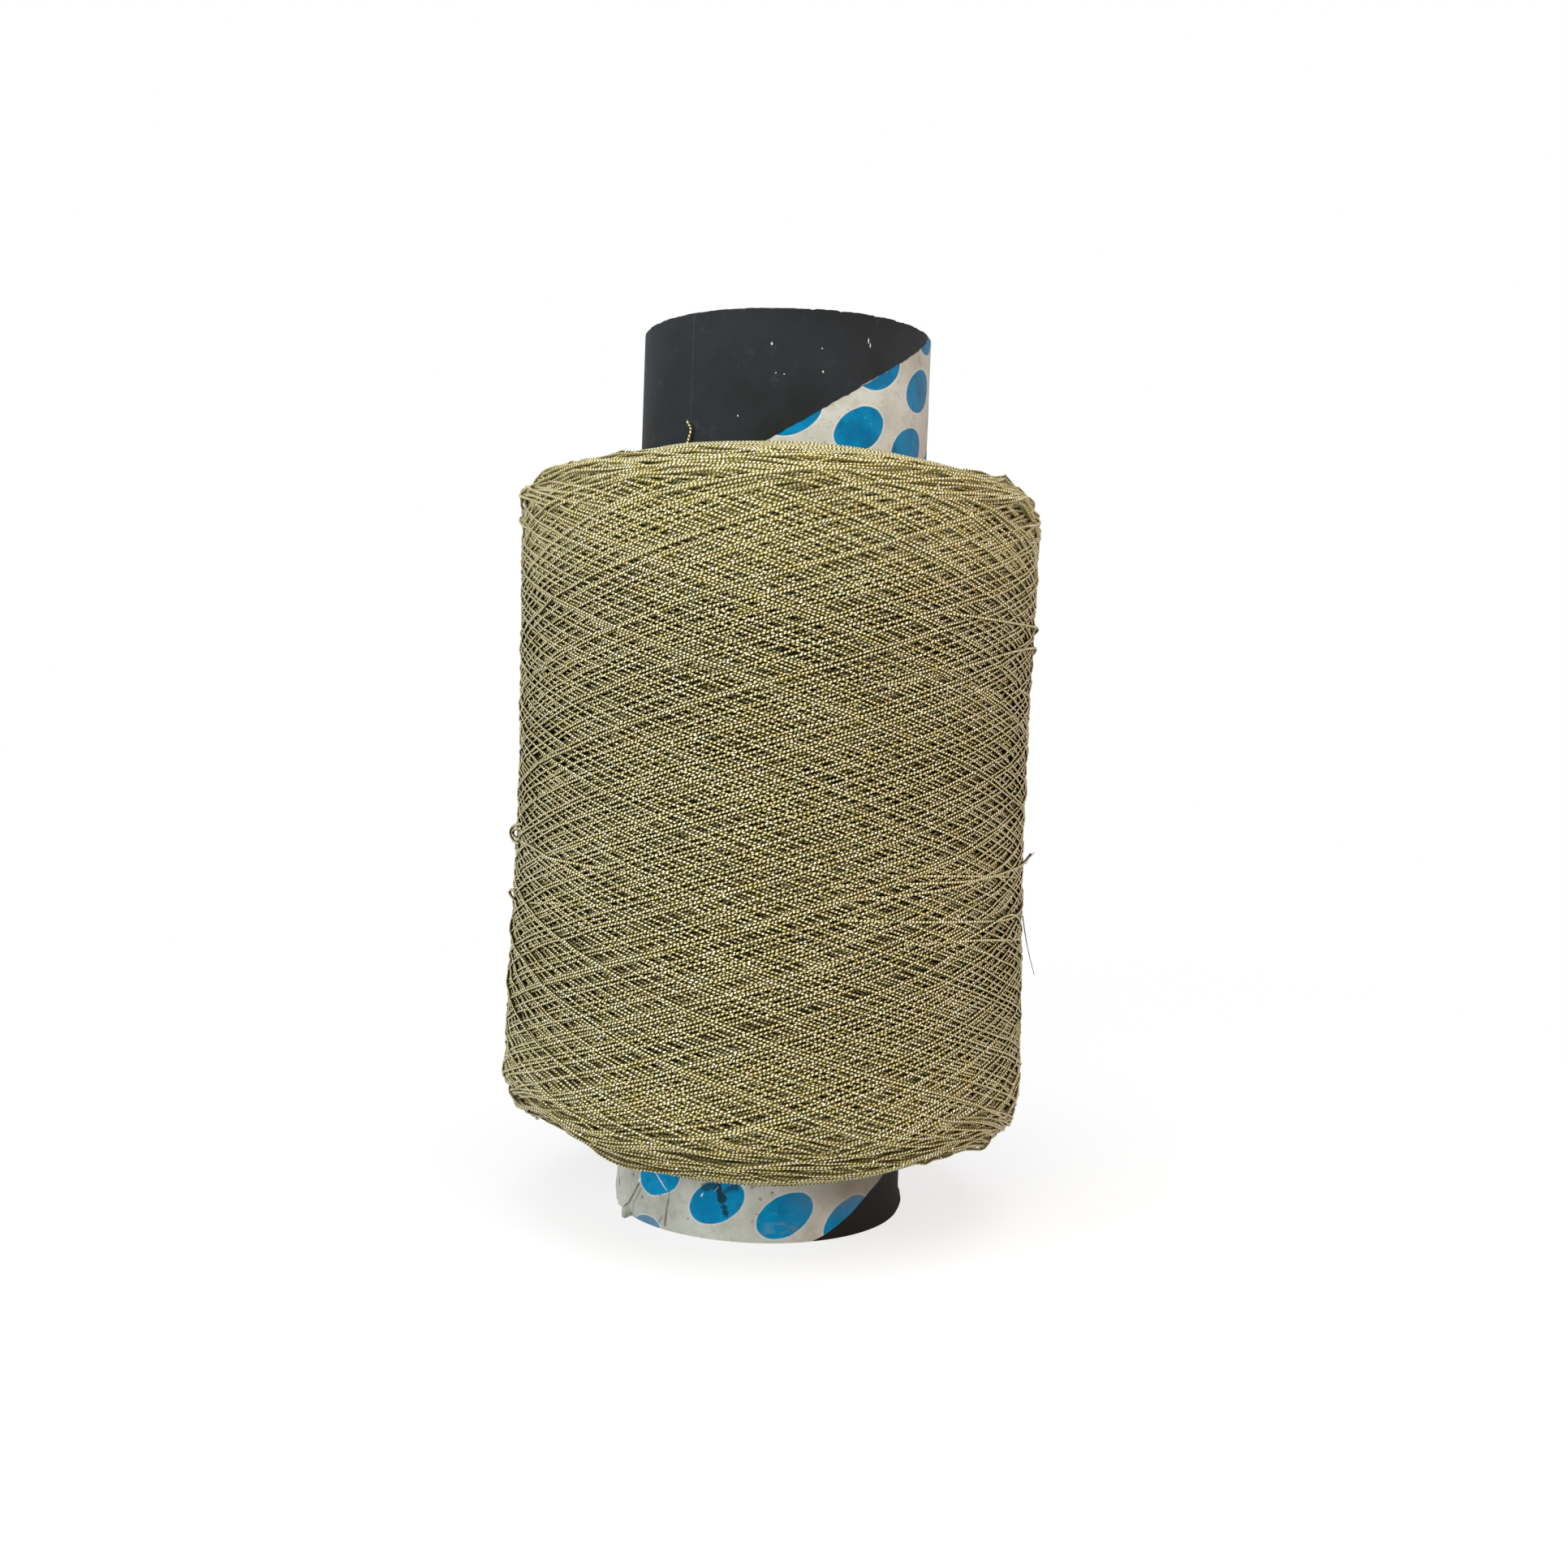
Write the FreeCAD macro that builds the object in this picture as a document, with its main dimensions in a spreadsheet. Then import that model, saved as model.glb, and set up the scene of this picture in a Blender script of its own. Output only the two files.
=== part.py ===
import FreeCAD, Part
import math
import os
import Sketcher

Vector = FreeCAD.Vector

document = FreeCAD.newDocument("thread_package")

# Driving dimensions in millimetres, degrees and counts.
# Heights run up from the foot of the tube, and the tube's axis is Z.
DIMENSIONS = [
    ("tube_length", 180.0),
    ("bore_diameter", 54.0),
    ("wall_thickness", 2.7),
    ("liner_thickness", 0.3),
    ("outer_ply_thickness", 0.25),
    ("board_ply_count", 4),
    ("ply_lead", 107.6),
    ("seam_gap", 0.3),
    ("dotted_ply_width", 57.4),
    ("dotted_ply_start", -7.3),
    ("edge_wear", 0.4),
    ("bottom_foot_height", 11.9),
    ("bottom_edge_height", 20.7),
    ("bottom_edge_radius", 54.3),
    ("bottom_shoulder", 11.6),
    ("bottom_shoulder_facets", 3),
    ("waist_radius", 52.7),
    ("waist_height", 86.0),
    ("top_edge_height", 149.1),
    ("top_edge_radius", 53.5),
    ("top_foot_height", 154.9),
    ("top_shoulder", 6.2),
    ("top_shoulder_facets", 2),
    ("build_inset", 1.5),
    ("thread_diameter", 0.6),
    ("inner_lift", 0.5),
    ("layer_step", 1.15),
    ("double_traverses", 3),
    ("turns_per_double_traverse", 7 / 3),
    ("bottom_turnaround", 24.5),
    ("top_turnaround", 145.5),
    ("tail_angle", -38.0),
    ("tail_length", 5.4),
    ("tail_bend_radius", 5.0),
]

sheet = document.addObject("Spreadsheet::Sheet", "dimensions")
for row, (alias, value) in enumerate(DIMENSIONS, start=1):
    sheet.set("A%d" % row, alias)
    sheet.set("B%d" % row, str(value))
    sheet.setAlias("B%d" % row, alias)

next_row = len(DIMENSIONS) + 1
DERIVED = [
    ("bore_radius", "=bore_diameter / 2"),
    ("tube_radius", "=bore_radius + wall_thickness"),
    ("board_ply_thickness",
     "=(wall_thickness - liner_thickness - outer_ply_thickness) / board_ply_count"),
    ("board_inner_radius", "=bore_radius + liner_thickness"),
    ("board_outer_radius", "=tube_radius - outer_ply_thickness"),
    ("full_ply_width", "=ply_lead - seam_gap"),
    ("black_ply_width", "=ply_lead - dotted_ply_width - 2 * seam_gap"),
    ("black_ply_start", "=dotted_ply_start + dotted_ply_width + seam_gap"),
]
for row, (alias, formula) in enumerate(DERIVED, start=next_row):
    sheet.set("A%d" % row, alias)
    sheet.set("B%d" % row, formula)
    sheet.setAlias("B%d" % row, alias)
document.recompute()


def size(alias):
    """A value of the sheet as a plain number."""
    return float(getattr(sheet, alias))


def bind(piece, **formulas):
    """Bind properties of a piece to formulas on the sheet's cells."""
    for name, formula in formulas.items():
        piece.setExpression(name, formula)


# The paper tube. A strip of paper wraps the tube on a right-handed helix, so it is drawn
# flat, as a straight band of angle and height, and wrapped on its two cylinders.
FlatPoint = FreeCAD.Base.Vector2d
FULL_TURN = 2 * math.pi
HALF_TURN = math.pi
FRONT = 0.75 * FULL_TURN
SHORTEST = 1e-6
FORWARD = 1


class Strip:
    """A paper strip between two radii, two heights and two helical edges."""

    def __init__(self, inner, outer, start, width, low, high):
        """Take the sizes; start is the height of the lower edge on the tube's front line."""
        self.radii = (inner, outer)
        self.start = start
        self.width = width
        self.low = low
        self.high = high
        self.rise = size("ply_lead") / FULL_TURN

    def edges_at(self, angle):
        """The heights of the strip's lower and upper edge at an angle."""
        lower = self.start + self.rise * (angle - FRONT)
        return max(self.low, lower), min(self.high, lower + self.width)

    def stops(self):
        """The angles at which the strip is divided: its corners and every half turn."""
        corners = [
            FRONT + (height - edge) / self.rise
            for height in (self.low, self.high)
            for edge in (self.start, self.start + self.width)
        ]
        first, last = min(corners), max(corners)
        halves = range(math.ceil(first / HALF_TURN), math.ceil(last / HALF_TURN))
        return sorted(corners + [half * HALF_TURN for half in halves])

    def patch(self, cylinder, first, last):
        """The edges of one stretch of the strip on a cylinder: lower, last, upper, first."""
        whole_turns = math.floor((first + last) / 2 / FULL_TURN) * FULL_TURN
        first_low, first_high = self.edges_at(first)
        last_low, last_high = self.edges_at(last)
        corners = [
            FlatPoint(first - whole_turns, first_low),
            FlatPoint(last - whole_turns, last_low),
            FlatPoint(last - whole_turns, last_high),
            FlatPoint(first - whole_turns, first_high),
        ]
        edges = []
        for number, corner in enumerate(corners):
            following = corners[(number + 1) % 4]
            if (following - corner).length() < SHORTEST:
                edges.append(None)
            else:
                edges.append(Part.Geom2d.Line2dSegment(corner, following).toShape(cylinder))
        return edges

    def side_face(self, inside, outside):
        """The narrow face between an inner and an outer edge of the strip."""
        if abs(inside.BoundBox.ZLength) > SHORTEST:
            return Part.makeRuledSurface(inside, outside, FORWARD)
        ends = [
            Part.makeLine(inside.valueAt(end_in), outside.valueAt(end_out))
            for end_in, end_out in (
                (inside.FirstParameter, outside.FirstParameter),
                (inside.LastParameter, outside.LastParameter),
            )
        ]
        return Part.Face(Part.Wire([inside, ends[1], outside, ends[0]]))

    def solid(self):
        """The strip as a closed solid."""
        cylinders = []
        for radius in self.radii:
            cylinder = Part.Cylinder()
            cylinder.Radius = radius
            cylinders.append(cylinder)
        faces = []
        stops = self.stops()
        for first, last in zip(stops, stops[1:]):
            loops = [self.patch(cylinder, first, last) for cylinder in cylinders]
            for cylinder, loop in zip(cylinders, loops):
                faces.append(Part.Face(cylinder, Part.Wire([edge for edge in loop if edge])))
            for number in (0, 2):
                if loops[0][number]:
                    faces.append(self.side_face(loops[0][number], loops[1][number]))
        skin = Part.makeCompound(faces)
        skin.sewShape()
        solid = Part.makeSolid(skin.Shells[0])
        if solid.Volume < 0:
            solid.reverse()
        return solid


VOLUME_TOLERANCE = 0.001


def paper_strip(name, strip):
    """A paper strip as an object of the document, with its volume checked."""
    ply = document.addObject("Part::Feature", name)
    ply.Label = name
    ply.Shape = strip.solid()
    inner, outer = strip.radii
    exact = (
        math.pi * (outer ** 2 - inner ** 2) * (strip.high - strip.low)
        * strip.width / size("ply_lead"))
    if abs(ply.Shape.Volume / exact - 1) > VOLUME_TOLERANCE:
        raise RuntimeError(name + " has the wrong volume")
    return ply


def board_ply(number):
    """One of the thick plies inside the wall, sealed between its neighbours."""
    outside = document.addObject("Part::Cylinder", "board_%d_outside" % number)
    inside = document.addObject("Part::Cylinder", "board_%d_inside" % number)
    for cylinder, plies in ((outside, number), (inside, number - 1)):
        bind(
            cylinder,
            Height="dimensions.tube_length",
            Radius="dimensions.board_inner_radius + %d * dimensions.board_ply_thickness" % plies,
        )
    ply = document.addObject("Part::Cut", "board_ply_%d" % number)
    ply.Label = "board_ply_%d" % number
    ply.Base = outside
    ply.Tool = inside
    return ply


pieces = [paper_strip("inner_liner", Strip(
    size("bore_radius"),
    size("board_inner_radius"),
    0.0,
    size("full_ply_width"),
    0.0,
    size("tube_length"),
))]
pieces += [board_ply(number) for number in range(1, int(size("board_ply_count")) + 1)]
for name in ("black_ply", "dotted_ply"):
    pieces.append(paper_strip(name, Strip(
        size("board_outer_radius"),
        size("tube_radius"),
        size(name + "_start"),
        size(name + "_width"),
        size("edge_wear"),
        size("tube_length") - size("edge_wear"),
    )))


# The wound thread: a barrel of two slight cones that meet at a waist, with cone-shaped
# ends. Its outermost layer is left off, for the outer turns. Each shoulder follows an arc
# in a few short cones, so that the barrel has few facets.
def origin_plane(body, role):
    """One of a body's own base planes, found by its role."""
    return [plane for plane in body.Origin.OriginFeatures if plane.Role == role][0]


build = document.addObject("PartDesign::Body", "thread_build")
build.Label = "thread_build"
profile = build.newObject("Sketcher::SketchObject", "build_profile")
profile.AttachmentSupport = (origin_plane(build, "XZ_Plane"), [""])
profile.MapMode = "FlatFace"

# The corners of the half section, from the bottom of the bore round to its top:
# a name, the radius and the height.
OUTER = "dimensions.%s_radius - dimensions.build_inset"
CORNERS = [
    ("bottom_foot", "dimensions.tube_radius", "dimensions.bottom_foot_height"),
    ("bottom_edge", OUTER % "bottom_edge", "dimensions.bottom_edge_height"),
    ("waist", OUTER % "waist", "dimensions.waist_height"),
    ("top_edge", OUTER % "top_edge", "dimensions.top_edge_height"),
    ("top_foot", "dimensions.tube_radius", "dimensions.top_foot_height"),
]
START, END = 1, 2
ORIGIN = -1
TRIM_LINES = True
KEEP_CORNER = True


def value(formula):
    """The value of a formula on the sheet's cells."""
    return float(sheet.evalExpression(formula))


places = [Vector(value(radius), value(height), 0) for name, radius, height in CORNERS]
for place, following in zip(places, places[1:] + places[:1]):
    profile.addGeometry(Part.LineSegment(place, following), False)
for line in range(len(CORNERS)):
    profile.addConstraint(
        Sketcher.Constraint("Coincident", line, END, (line + 1) % len(CORNERS), START))
for line, (name, radius, height) in enumerate(CORNERS):
    for kind, formula in (("DistanceX", radius), ("DistanceY", height)):
        index = profile.addConstraint(
            Sketcher.Constraint(kind, ORIGIN, START, line, START, value(formula)))
        profile.renameConstraint(index, name + kind[-1])
        profile.setExpression("Constraints." + name + kind[-1], formula)


def add_facets(arc, facets):
    """Bridge an arc, kept as a guide, with chords of equal length."""
    curve = profile.Geometry[arc]
    first, last = curve.FirstParameter, curve.LastParameter
    stops = [curve.value(first + (last - first) * n / facets) for n in range(facets + 1)]
    profile.toggleConstruction(arc)
    chords = [
        profile.addGeometry(Part.LineSegment(stops[n], stops[n + 1]), False)
        for n in range(facets)
    ]
    profile.addConstraint([
        Sketcher.Constraint("Coincident", chords[0], START, arc, START),
        Sketcher.Constraint("Coincident", chords[-1], END, arc, END),
    ])
    for chord, following in zip(chords, chords[1:]):
        profile.addConstraint([
            Sketcher.Constraint("Coincident", chord, END, following, START),
            Sketcher.Constraint("PointOnObject", chord, END, arc),
            Sketcher.Constraint("Equal", chord, following),
        ])


for corner, name in ((1, "bottom_shoulder"), (3, "top_shoulder")):
    profile.fillet(corner, START, size(name), TRIM_LINES, KEEP_CORNER)
    arc = max(
        number for number, line in enumerate(profile.Geometry)
        if isinstance(line, Part.ArcOfCircle))
    index = profile.addConstraint(Sketcher.Constraint("Radius", arc, size(name)))
    profile.renameConstraint(index, name)
    profile.setExpression("Constraints." + name, "dimensions." + name)
    add_facets(arc, int(size(name + "_facets")))
if profile.solve() != 0:
    raise RuntimeError("the section of the wound thread has no solution")

barrel = build.newObject("PartDesign::Revolution", "barrel")
barrel.Profile = profile
barrel.ReferenceAxis = (profile, ["V_Axis"])
barrel.Angle = 360.0
document.recompute()
pieces.append(build)


# The outer turns: one unbroken thread wound to and fro over the barrel.
PROBE_MARGIN = 1.0
SLOPE_STEP = 0.05


def barrel_radius(height):
    """The radius of the wound barrel at a height, read from its solid."""
    probe = Part.makeLine(
        Vector(size("tube_radius") + PROBE_MARGIN, 0, height),
        Vector(size("bottom_edge_radius") + PROBE_MARGIN, 0, height))
    return build.Shape.common(probe).BoundBox.XMax


def barrel_slope(height):
    """How fast the barrel's radius grows with height."""
    return (barrel_radius(height + SLOPE_STEP) - barrel_radius(height - SLOPE_STEP)) / (
        2 * SLOPE_STEP)


def around(angle):
    """The unit vectors out from the axis and along the turn, at an angle in degrees."""
    turn = math.radians(angle)
    return (
        Vector(math.cos(turn), math.sin(turn), 0),
        Vector(-math.sin(turn), math.cos(turn), 0),
    )


class Knot:
    """A point of the thread's centre line, with its direction there."""

    def __init__(self, angle, height, lift, climb):
        """Place a knot over the barrel; climb is in millimetres of height a degree."""
        out, along = around(angle)
        slope = barrel_slope(height)
        normal = (out - Vector(0, 0, slope)).normalize()
        self.foot = out * barrel_radius(height) + Vector(0, 0, height)
        self.normal = normal
        self.point = self.foot + normal * lift
        radius = math.hypot(self.point.x, self.point.y)
        rise = climb / math.radians(1)
        self.direction = (
            along * radius + Vector(0, 0, rise) + out * (slope * rise)).normalize()


def arc_between(start, direction, end):
    """The arc from start, leaving along direction, to end."""
    chord = end - start
    along = chord / chord.Length
    side = direction - along * direction.dot(along)
    half_turn = math.acos(min(1.0, direction.dot(along)))
    rise = chord.Length / 2 * math.tan(half_turn / 2)
    middle = start + chord / 2 + side / side.Length * rise
    return Part.Arc(start, middle, end)


def biarc(first, last):
    """Two arcs that join two knots and share a direction where they meet."""
    span = last.point - first.point
    both = first.direction + last.direction
    spread = 2 * (1 - first.direction.dot(last.direction))
    reach = (math.sqrt(span.dot(both) ** 2 + spread * span.dot(span)) - span.dot(both)) / spread
    before = first.point + first.direction * reach
    after = last.point - last.direction * reach
    joint = (before + after) / 2
    crossing = (after - before) / (after - before).Length
    return [
        arc_between(first.point, first.direction, joint),
        arc_between(joint, crossing, last.point),
    ]


thread_radius = size("thread_diameter") / 2
inner_lift = size("inner_lift")
outer_lift = inner_lift + size("layer_step")
bottom_height = size("bottom_turnaround")
top_height = size("top_turnaround")
HALF_CIRCLE = 180.0
TURNAROUND = 90.0
QUARTER_TURNS = 4
pass_angle = size("turns_per_double_traverse") * HALF_CIRCLE
run_angle = pass_angle - TURNAROUND
climb = (top_height - bottom_height) / (run_angle + TURNAROUND / 2)
turnaround_rise = climb * TURNAROUND / 4


def traverse(first_angle, upward):
    """The knots of one pass over the barrel, from one turnaround to the next."""
    knots = []
    for step in range(QUARTER_TURNS + 1):
        share = step / QUARTER_TURNS
        travelled = turnaround_rise + climb * run_angle * share
        angle = first_angle + TURNAROUND / 2 + run_angle * share
        if upward:
            knots.append(Knot(angle, bottom_height + travelled, inner_lift, climb))
        else:
            knots.append(Knot(angle, top_height - travelled, outer_lift, -climb))
    return knots


def end_stub(knot, sign):
    """The bend and the straight end that takes the thread square into the barrel."""
    bend = (knot.point - knot.foot).Length - size("thread_diameter")
    corner = knot.point + knot.direction * (sign * bend)
    low = corner - knot.normal * bend
    foot = corner - knot.normal * (bend + size("thread_diameter"))
    centre = knot.point - knot.normal * bend
    middle = centre + ((knot.point + low) / 2 - centre).normalize() * bend
    return foot, low, middle


END_DROP = 3.5
END_ANGLE = 60.0
STUB_HEIGHT = 1.3
start_knot = Knot(-END_ANGLE, bottom_height - END_DROP, STUB_HEIGHT, 0.0)
knots = [start_knot]
for number in range(int(2 * size("double_traverses"))):
    knots += traverse(number * pass_angle, number % 2 == 0)
final_angle = 2 * size("double_traverses") * pass_angle
finish_knot = Knot(
    final_angle + END_ANGLE, bottom_height - END_DROP, STUB_HEIGHT + size("layer_step"), 0.0)
knots.append(finish_knot)

edges = []
foot, low, middle = end_stub(start_knot, -1)
edges.append(Part.LineSegment(foot, low))
edges.append(Part.Arc(low, middle, start_knot.point))
start_foot = foot
for first, last in zip(knots, knots[1:]):
    edges += biarc(first, last)
foot, low, middle = end_stub(finish_knot, 1)
edges.append(Part.Arc(finish_knot.point, middle, low))
edges.append(Part.LineSegment(low, foot))

centre_line = document.addObject("Part::Feature", "outer_turns_centre_line")
centre_line.Shape = Part.Wire([edge.toShape() for edge in edges])

SECTION_SIDES = 4
section = document.addObject("Part::Feature", "outer_turns_section")
along = start_knot.direction
across = start_knot.normal.cross(along)
rim = []
for corner in range(SECTION_SIDES + 1):
    turn = FULL_TURN * corner / SECTION_SIDES
    rim.append(start_foot + (along * math.cos(turn) + across * math.sin(turn)) * thread_radius)
section.Shape = Part.makePolygon(rim)

turns = document.addObject("Part::Sweep", "thread_outer_turns")
turns.Label = "thread_outer_turns"
turns.Sections = [section]
turns.Spine = (centre_line, [])
turns.Solid = True
turns.Frenet = False
document.recompute()
pieces.append(turns)


# The start of the thread, left standing against the tube above the wound barrel.
FRONT_ANGLE = -90.0
TAIL_CLEARANCE = 0.05
TAIL_DEPTH = 1.0
TAIL_BEND_SHARE = 2 / 3
TAIL_SIDES = 8


def tail_centre_line():
    """A straight rise beside the tube that ends in a slight bend along the turn."""
    out, along = around(FRONT_ANGLE + size("tail_angle"))
    up = Vector(0, 0, 1)
    standing = out * (size("tube_radius") + TAIL_CLEARANCE + thread_radius)
    foot = standing + up * (size("top_foot_height") - TAIL_DEPTH)
    knee = foot + up * (TAIL_DEPTH + size("tail_length") * (1 - TAIL_BEND_SHARE))
    radius = size("tail_bend_radius")
    turn = size("tail_length") * TAIL_BEND_SHARE / radius
    middle, tip = (
        knee + along * (radius * (1 - math.cos(share))) + up * (radius * math.sin(share))
        for share in (turn / 2, turn)
    )
    return Part.Wire([
        Part.makeLine(foot, knee),
        Part.Arc(knee, middle, tip).toShape(),
    ])


tail_line = document.addObject("Part::Feature", "tail_centre_line")
tail_line.Shape = tail_centre_line()
tail_section = document.addObject("Part::RegularPolygon", "tail_section")
tail_section.Polygon = TAIL_SIDES
bind(tail_section, Circumradius="dimensions.thread_diameter / 2")
tail_section.Placement.Base = tail_line.Shape.Vertexes[0].Point
tail_tube = document.addObject("Part::Sweep", "tail_tube")
tail_tube.Sections = [tail_section]
tail_tube.Spine = (tail_line, [])
tail_tube.Solid = True
tail_tube.Frenet = False
tail = document.addObject("Part::Cut", "thread_tail")
tail.Label = "thread_tail"
tail.Base = tail_tube
tail.Tool = build
document.recompute()
pieces.append(tail)


# The gap between the thread and itself and the barrel, measured on points of its centre line.
POINT_STEP = 1.0
OWN_STRETCH = 8
CELL = 3.0
LEAST_GAP = 0.4


def least_gap(wire):
    """The least gap between stretches of the thread that are not neighbours."""
    places = wire.discretize(Distance=POINT_STEP)
    cells = {}
    least = None
    for number, place in enumerate(places):
        key = tuple(int(math.floor(value / CELL)) for value in place)
        for x in (-1, 0, 1):
            for y in (-1, 0, 1):
                for z in (-1, 0, 1):
                    for other in cells.get((key[0] + x, key[1] + y, key[2] + z), []):
                        if number - other < OWN_STRETCH:
                            continue
                        distance = (place - places[other]).Length
                        least = distance if least is None else min(least, distance)
        cells.setdefault(key, []).append(number)
    return least - size("thread_diameter")


gap = least_gap(centre_line.Shape)
print("least gap of the outer turns to themselves %.2f mm" % gap)
print("gap from the outer turns to the barrel %.3f mm" % (
    build.Shape.distToShape(Part.Compound(centre_line.Shape.Edges[2:-2]))[0] - thread_radius))
if gap < LEAST_GAP:
    raise RuntimeError("the outer turns come too close to themselves")

failed = [
    item.Label for item in document.Objects
    if "Invalid" in item.State or "Error" in item.State
]
if failed:
    raise RuntimeError("these did not build: " + ", ".join(failed))
for piece in pieces:
    if piece.Shape.isNull() or not piece.Shape.isValid():
        raise RuntimeError(piece.Label + " has no valid shape")

os.makedirs("parts", exist_ok=True)
for piece in pieces:
    piece.Shape.exportStep("parts/%s.step" % piece.Label)
    print(piece.Label, "volume %.1f" % piece.Shape.Volume, "solids", len(piece.Shape.Solids))
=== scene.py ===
"""A cross-wound package of metallic thread on a spiral paper tube.

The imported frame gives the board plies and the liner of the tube. This script
adds what a solid can't show: the printed and black wraps with their wear, the
wound thread, laid strand by strand on a field of heights, and its loose ends.
Lengths in the classes are millimetres; meshes are made in metres.
"""

import enum
import logging
import math
from dataclasses import dataclass, field
from functools import partialmethod

import bpy
import numpy as np
from mathutils import Matrix, Vector


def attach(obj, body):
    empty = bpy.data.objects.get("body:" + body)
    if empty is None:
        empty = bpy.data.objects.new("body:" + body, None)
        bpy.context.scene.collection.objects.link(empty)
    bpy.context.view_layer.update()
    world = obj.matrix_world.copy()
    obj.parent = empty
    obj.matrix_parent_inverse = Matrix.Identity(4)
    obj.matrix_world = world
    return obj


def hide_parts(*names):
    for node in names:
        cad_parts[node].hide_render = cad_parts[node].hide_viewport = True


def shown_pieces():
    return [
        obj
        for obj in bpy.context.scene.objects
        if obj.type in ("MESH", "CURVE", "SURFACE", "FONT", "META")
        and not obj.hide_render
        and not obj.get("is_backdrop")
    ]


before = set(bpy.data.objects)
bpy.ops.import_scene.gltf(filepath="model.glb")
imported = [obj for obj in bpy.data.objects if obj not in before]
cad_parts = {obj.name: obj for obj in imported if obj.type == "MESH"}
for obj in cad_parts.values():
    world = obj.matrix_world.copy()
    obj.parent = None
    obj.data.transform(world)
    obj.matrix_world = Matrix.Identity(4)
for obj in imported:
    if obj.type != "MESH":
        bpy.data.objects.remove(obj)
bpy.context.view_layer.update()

log = logging.getLogger("thread_package")

MM = 0.001
FULL_TURN = 2 * math.pi
PHOTO_SIDE = 1932
TUBE_RADIUS = 29.7
Array = np.ndarray
Material = bpy.types.Material
Piece = bpy.types.Object


class Slot(enum.Enum):
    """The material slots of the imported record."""

    BLACK = "black_paper"
    DOTTED = "dotted_paper"
    THREAD = "thread"


def srgb(red: float, green: float, blue: float) -> tuple[float, float, float, float]:
    """Turn a colour of 0 to 255 into linear light.

    Args:
        red: Red of the display colour.
        green: Green of the display colour.
        blue: Blue of the display colour.

    Returns:
        The linear colour with an alpha of 1.
    """
    linear = [
        part / 12.92 if part <= 0.04045 else ((part + 0.055) / 1.055) ** 2.4
        for part in (red / 255, green / 255, blue / 255)
    ]
    return (*linear, 1.0)


# ---- Shader maths ----------------------------------------------------------


class Shade:
    """A socket of a material, with arithmetic that adds Math nodes.

    The signs | and & give the larger and the smaller of two values.
    """

    def __init__(self, bench: "Bench", socket: bpy.types.NodeSocket) -> None:
        """Wrap a socket of the bench's tree."""
        self.bench, self.socket = bench, socket

    def maths(self, operation: str, *others: "Shade | float", flip: bool = False) -> "Shade":
        """Add a Math node.

        Args:
            operation: The node's operation.
            others: Its further values or sockets.
            flip: Whether this socket comes last.

        Returns:
            The node's result.
        """
        values = (*others, self) if flip else (self, *others)
        return self.bench.add("ShaderNodeMath", {"operation": operation}, dict(enumerate(values)))

    __add__ = __radd__ = partialmethod(maths, "ADD")
    __sub__ = partialmethod(maths, "SUBTRACT")
    __rsub__ = partialmethod(maths, "SUBTRACT", flip=True)
    __mul__ = __rmul__ = partialmethod(maths, "MULTIPLY")
    __truediv__ = partialmethod(maths, "DIVIDE")
    __or__ = partialmethod(maths, "MAXIMUM")
    __and__ = partialmethod(maths, "MINIMUM")
    size = partialmethod(maths, "ABSOLUTE")
    floor = partialmethod(maths, "FLOOR")
    wrapped = partialmethod(maths, "FRACT")
    root = partialmethod(maths, "SQRT")
    cosine = partialmethod(maths, "COSINE")
    turn_to = partialmethod(maths, "ARCTAN2")

    def ramp(self, low: float, high: float) -> "Shade":
        """Run smoothly from 0 at low to 1 at high.

        Args:
            low: The value that becomes 0; it may be the larger of the two.
            high: The value that becomes 1.

        Returns:
            The eased share.
        """
        upward = low < high
        ends = {"From Min": min(low, high), "From Max": max(low, high)}
        ends |= {"Value": self, "To Min": 1.0 - upward, "To Max": float(upward)}
        return self.bench.add("ShaderNodeMapRange", {"interpolation_type": "SMOOTHSTEP"}, ends)


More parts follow.
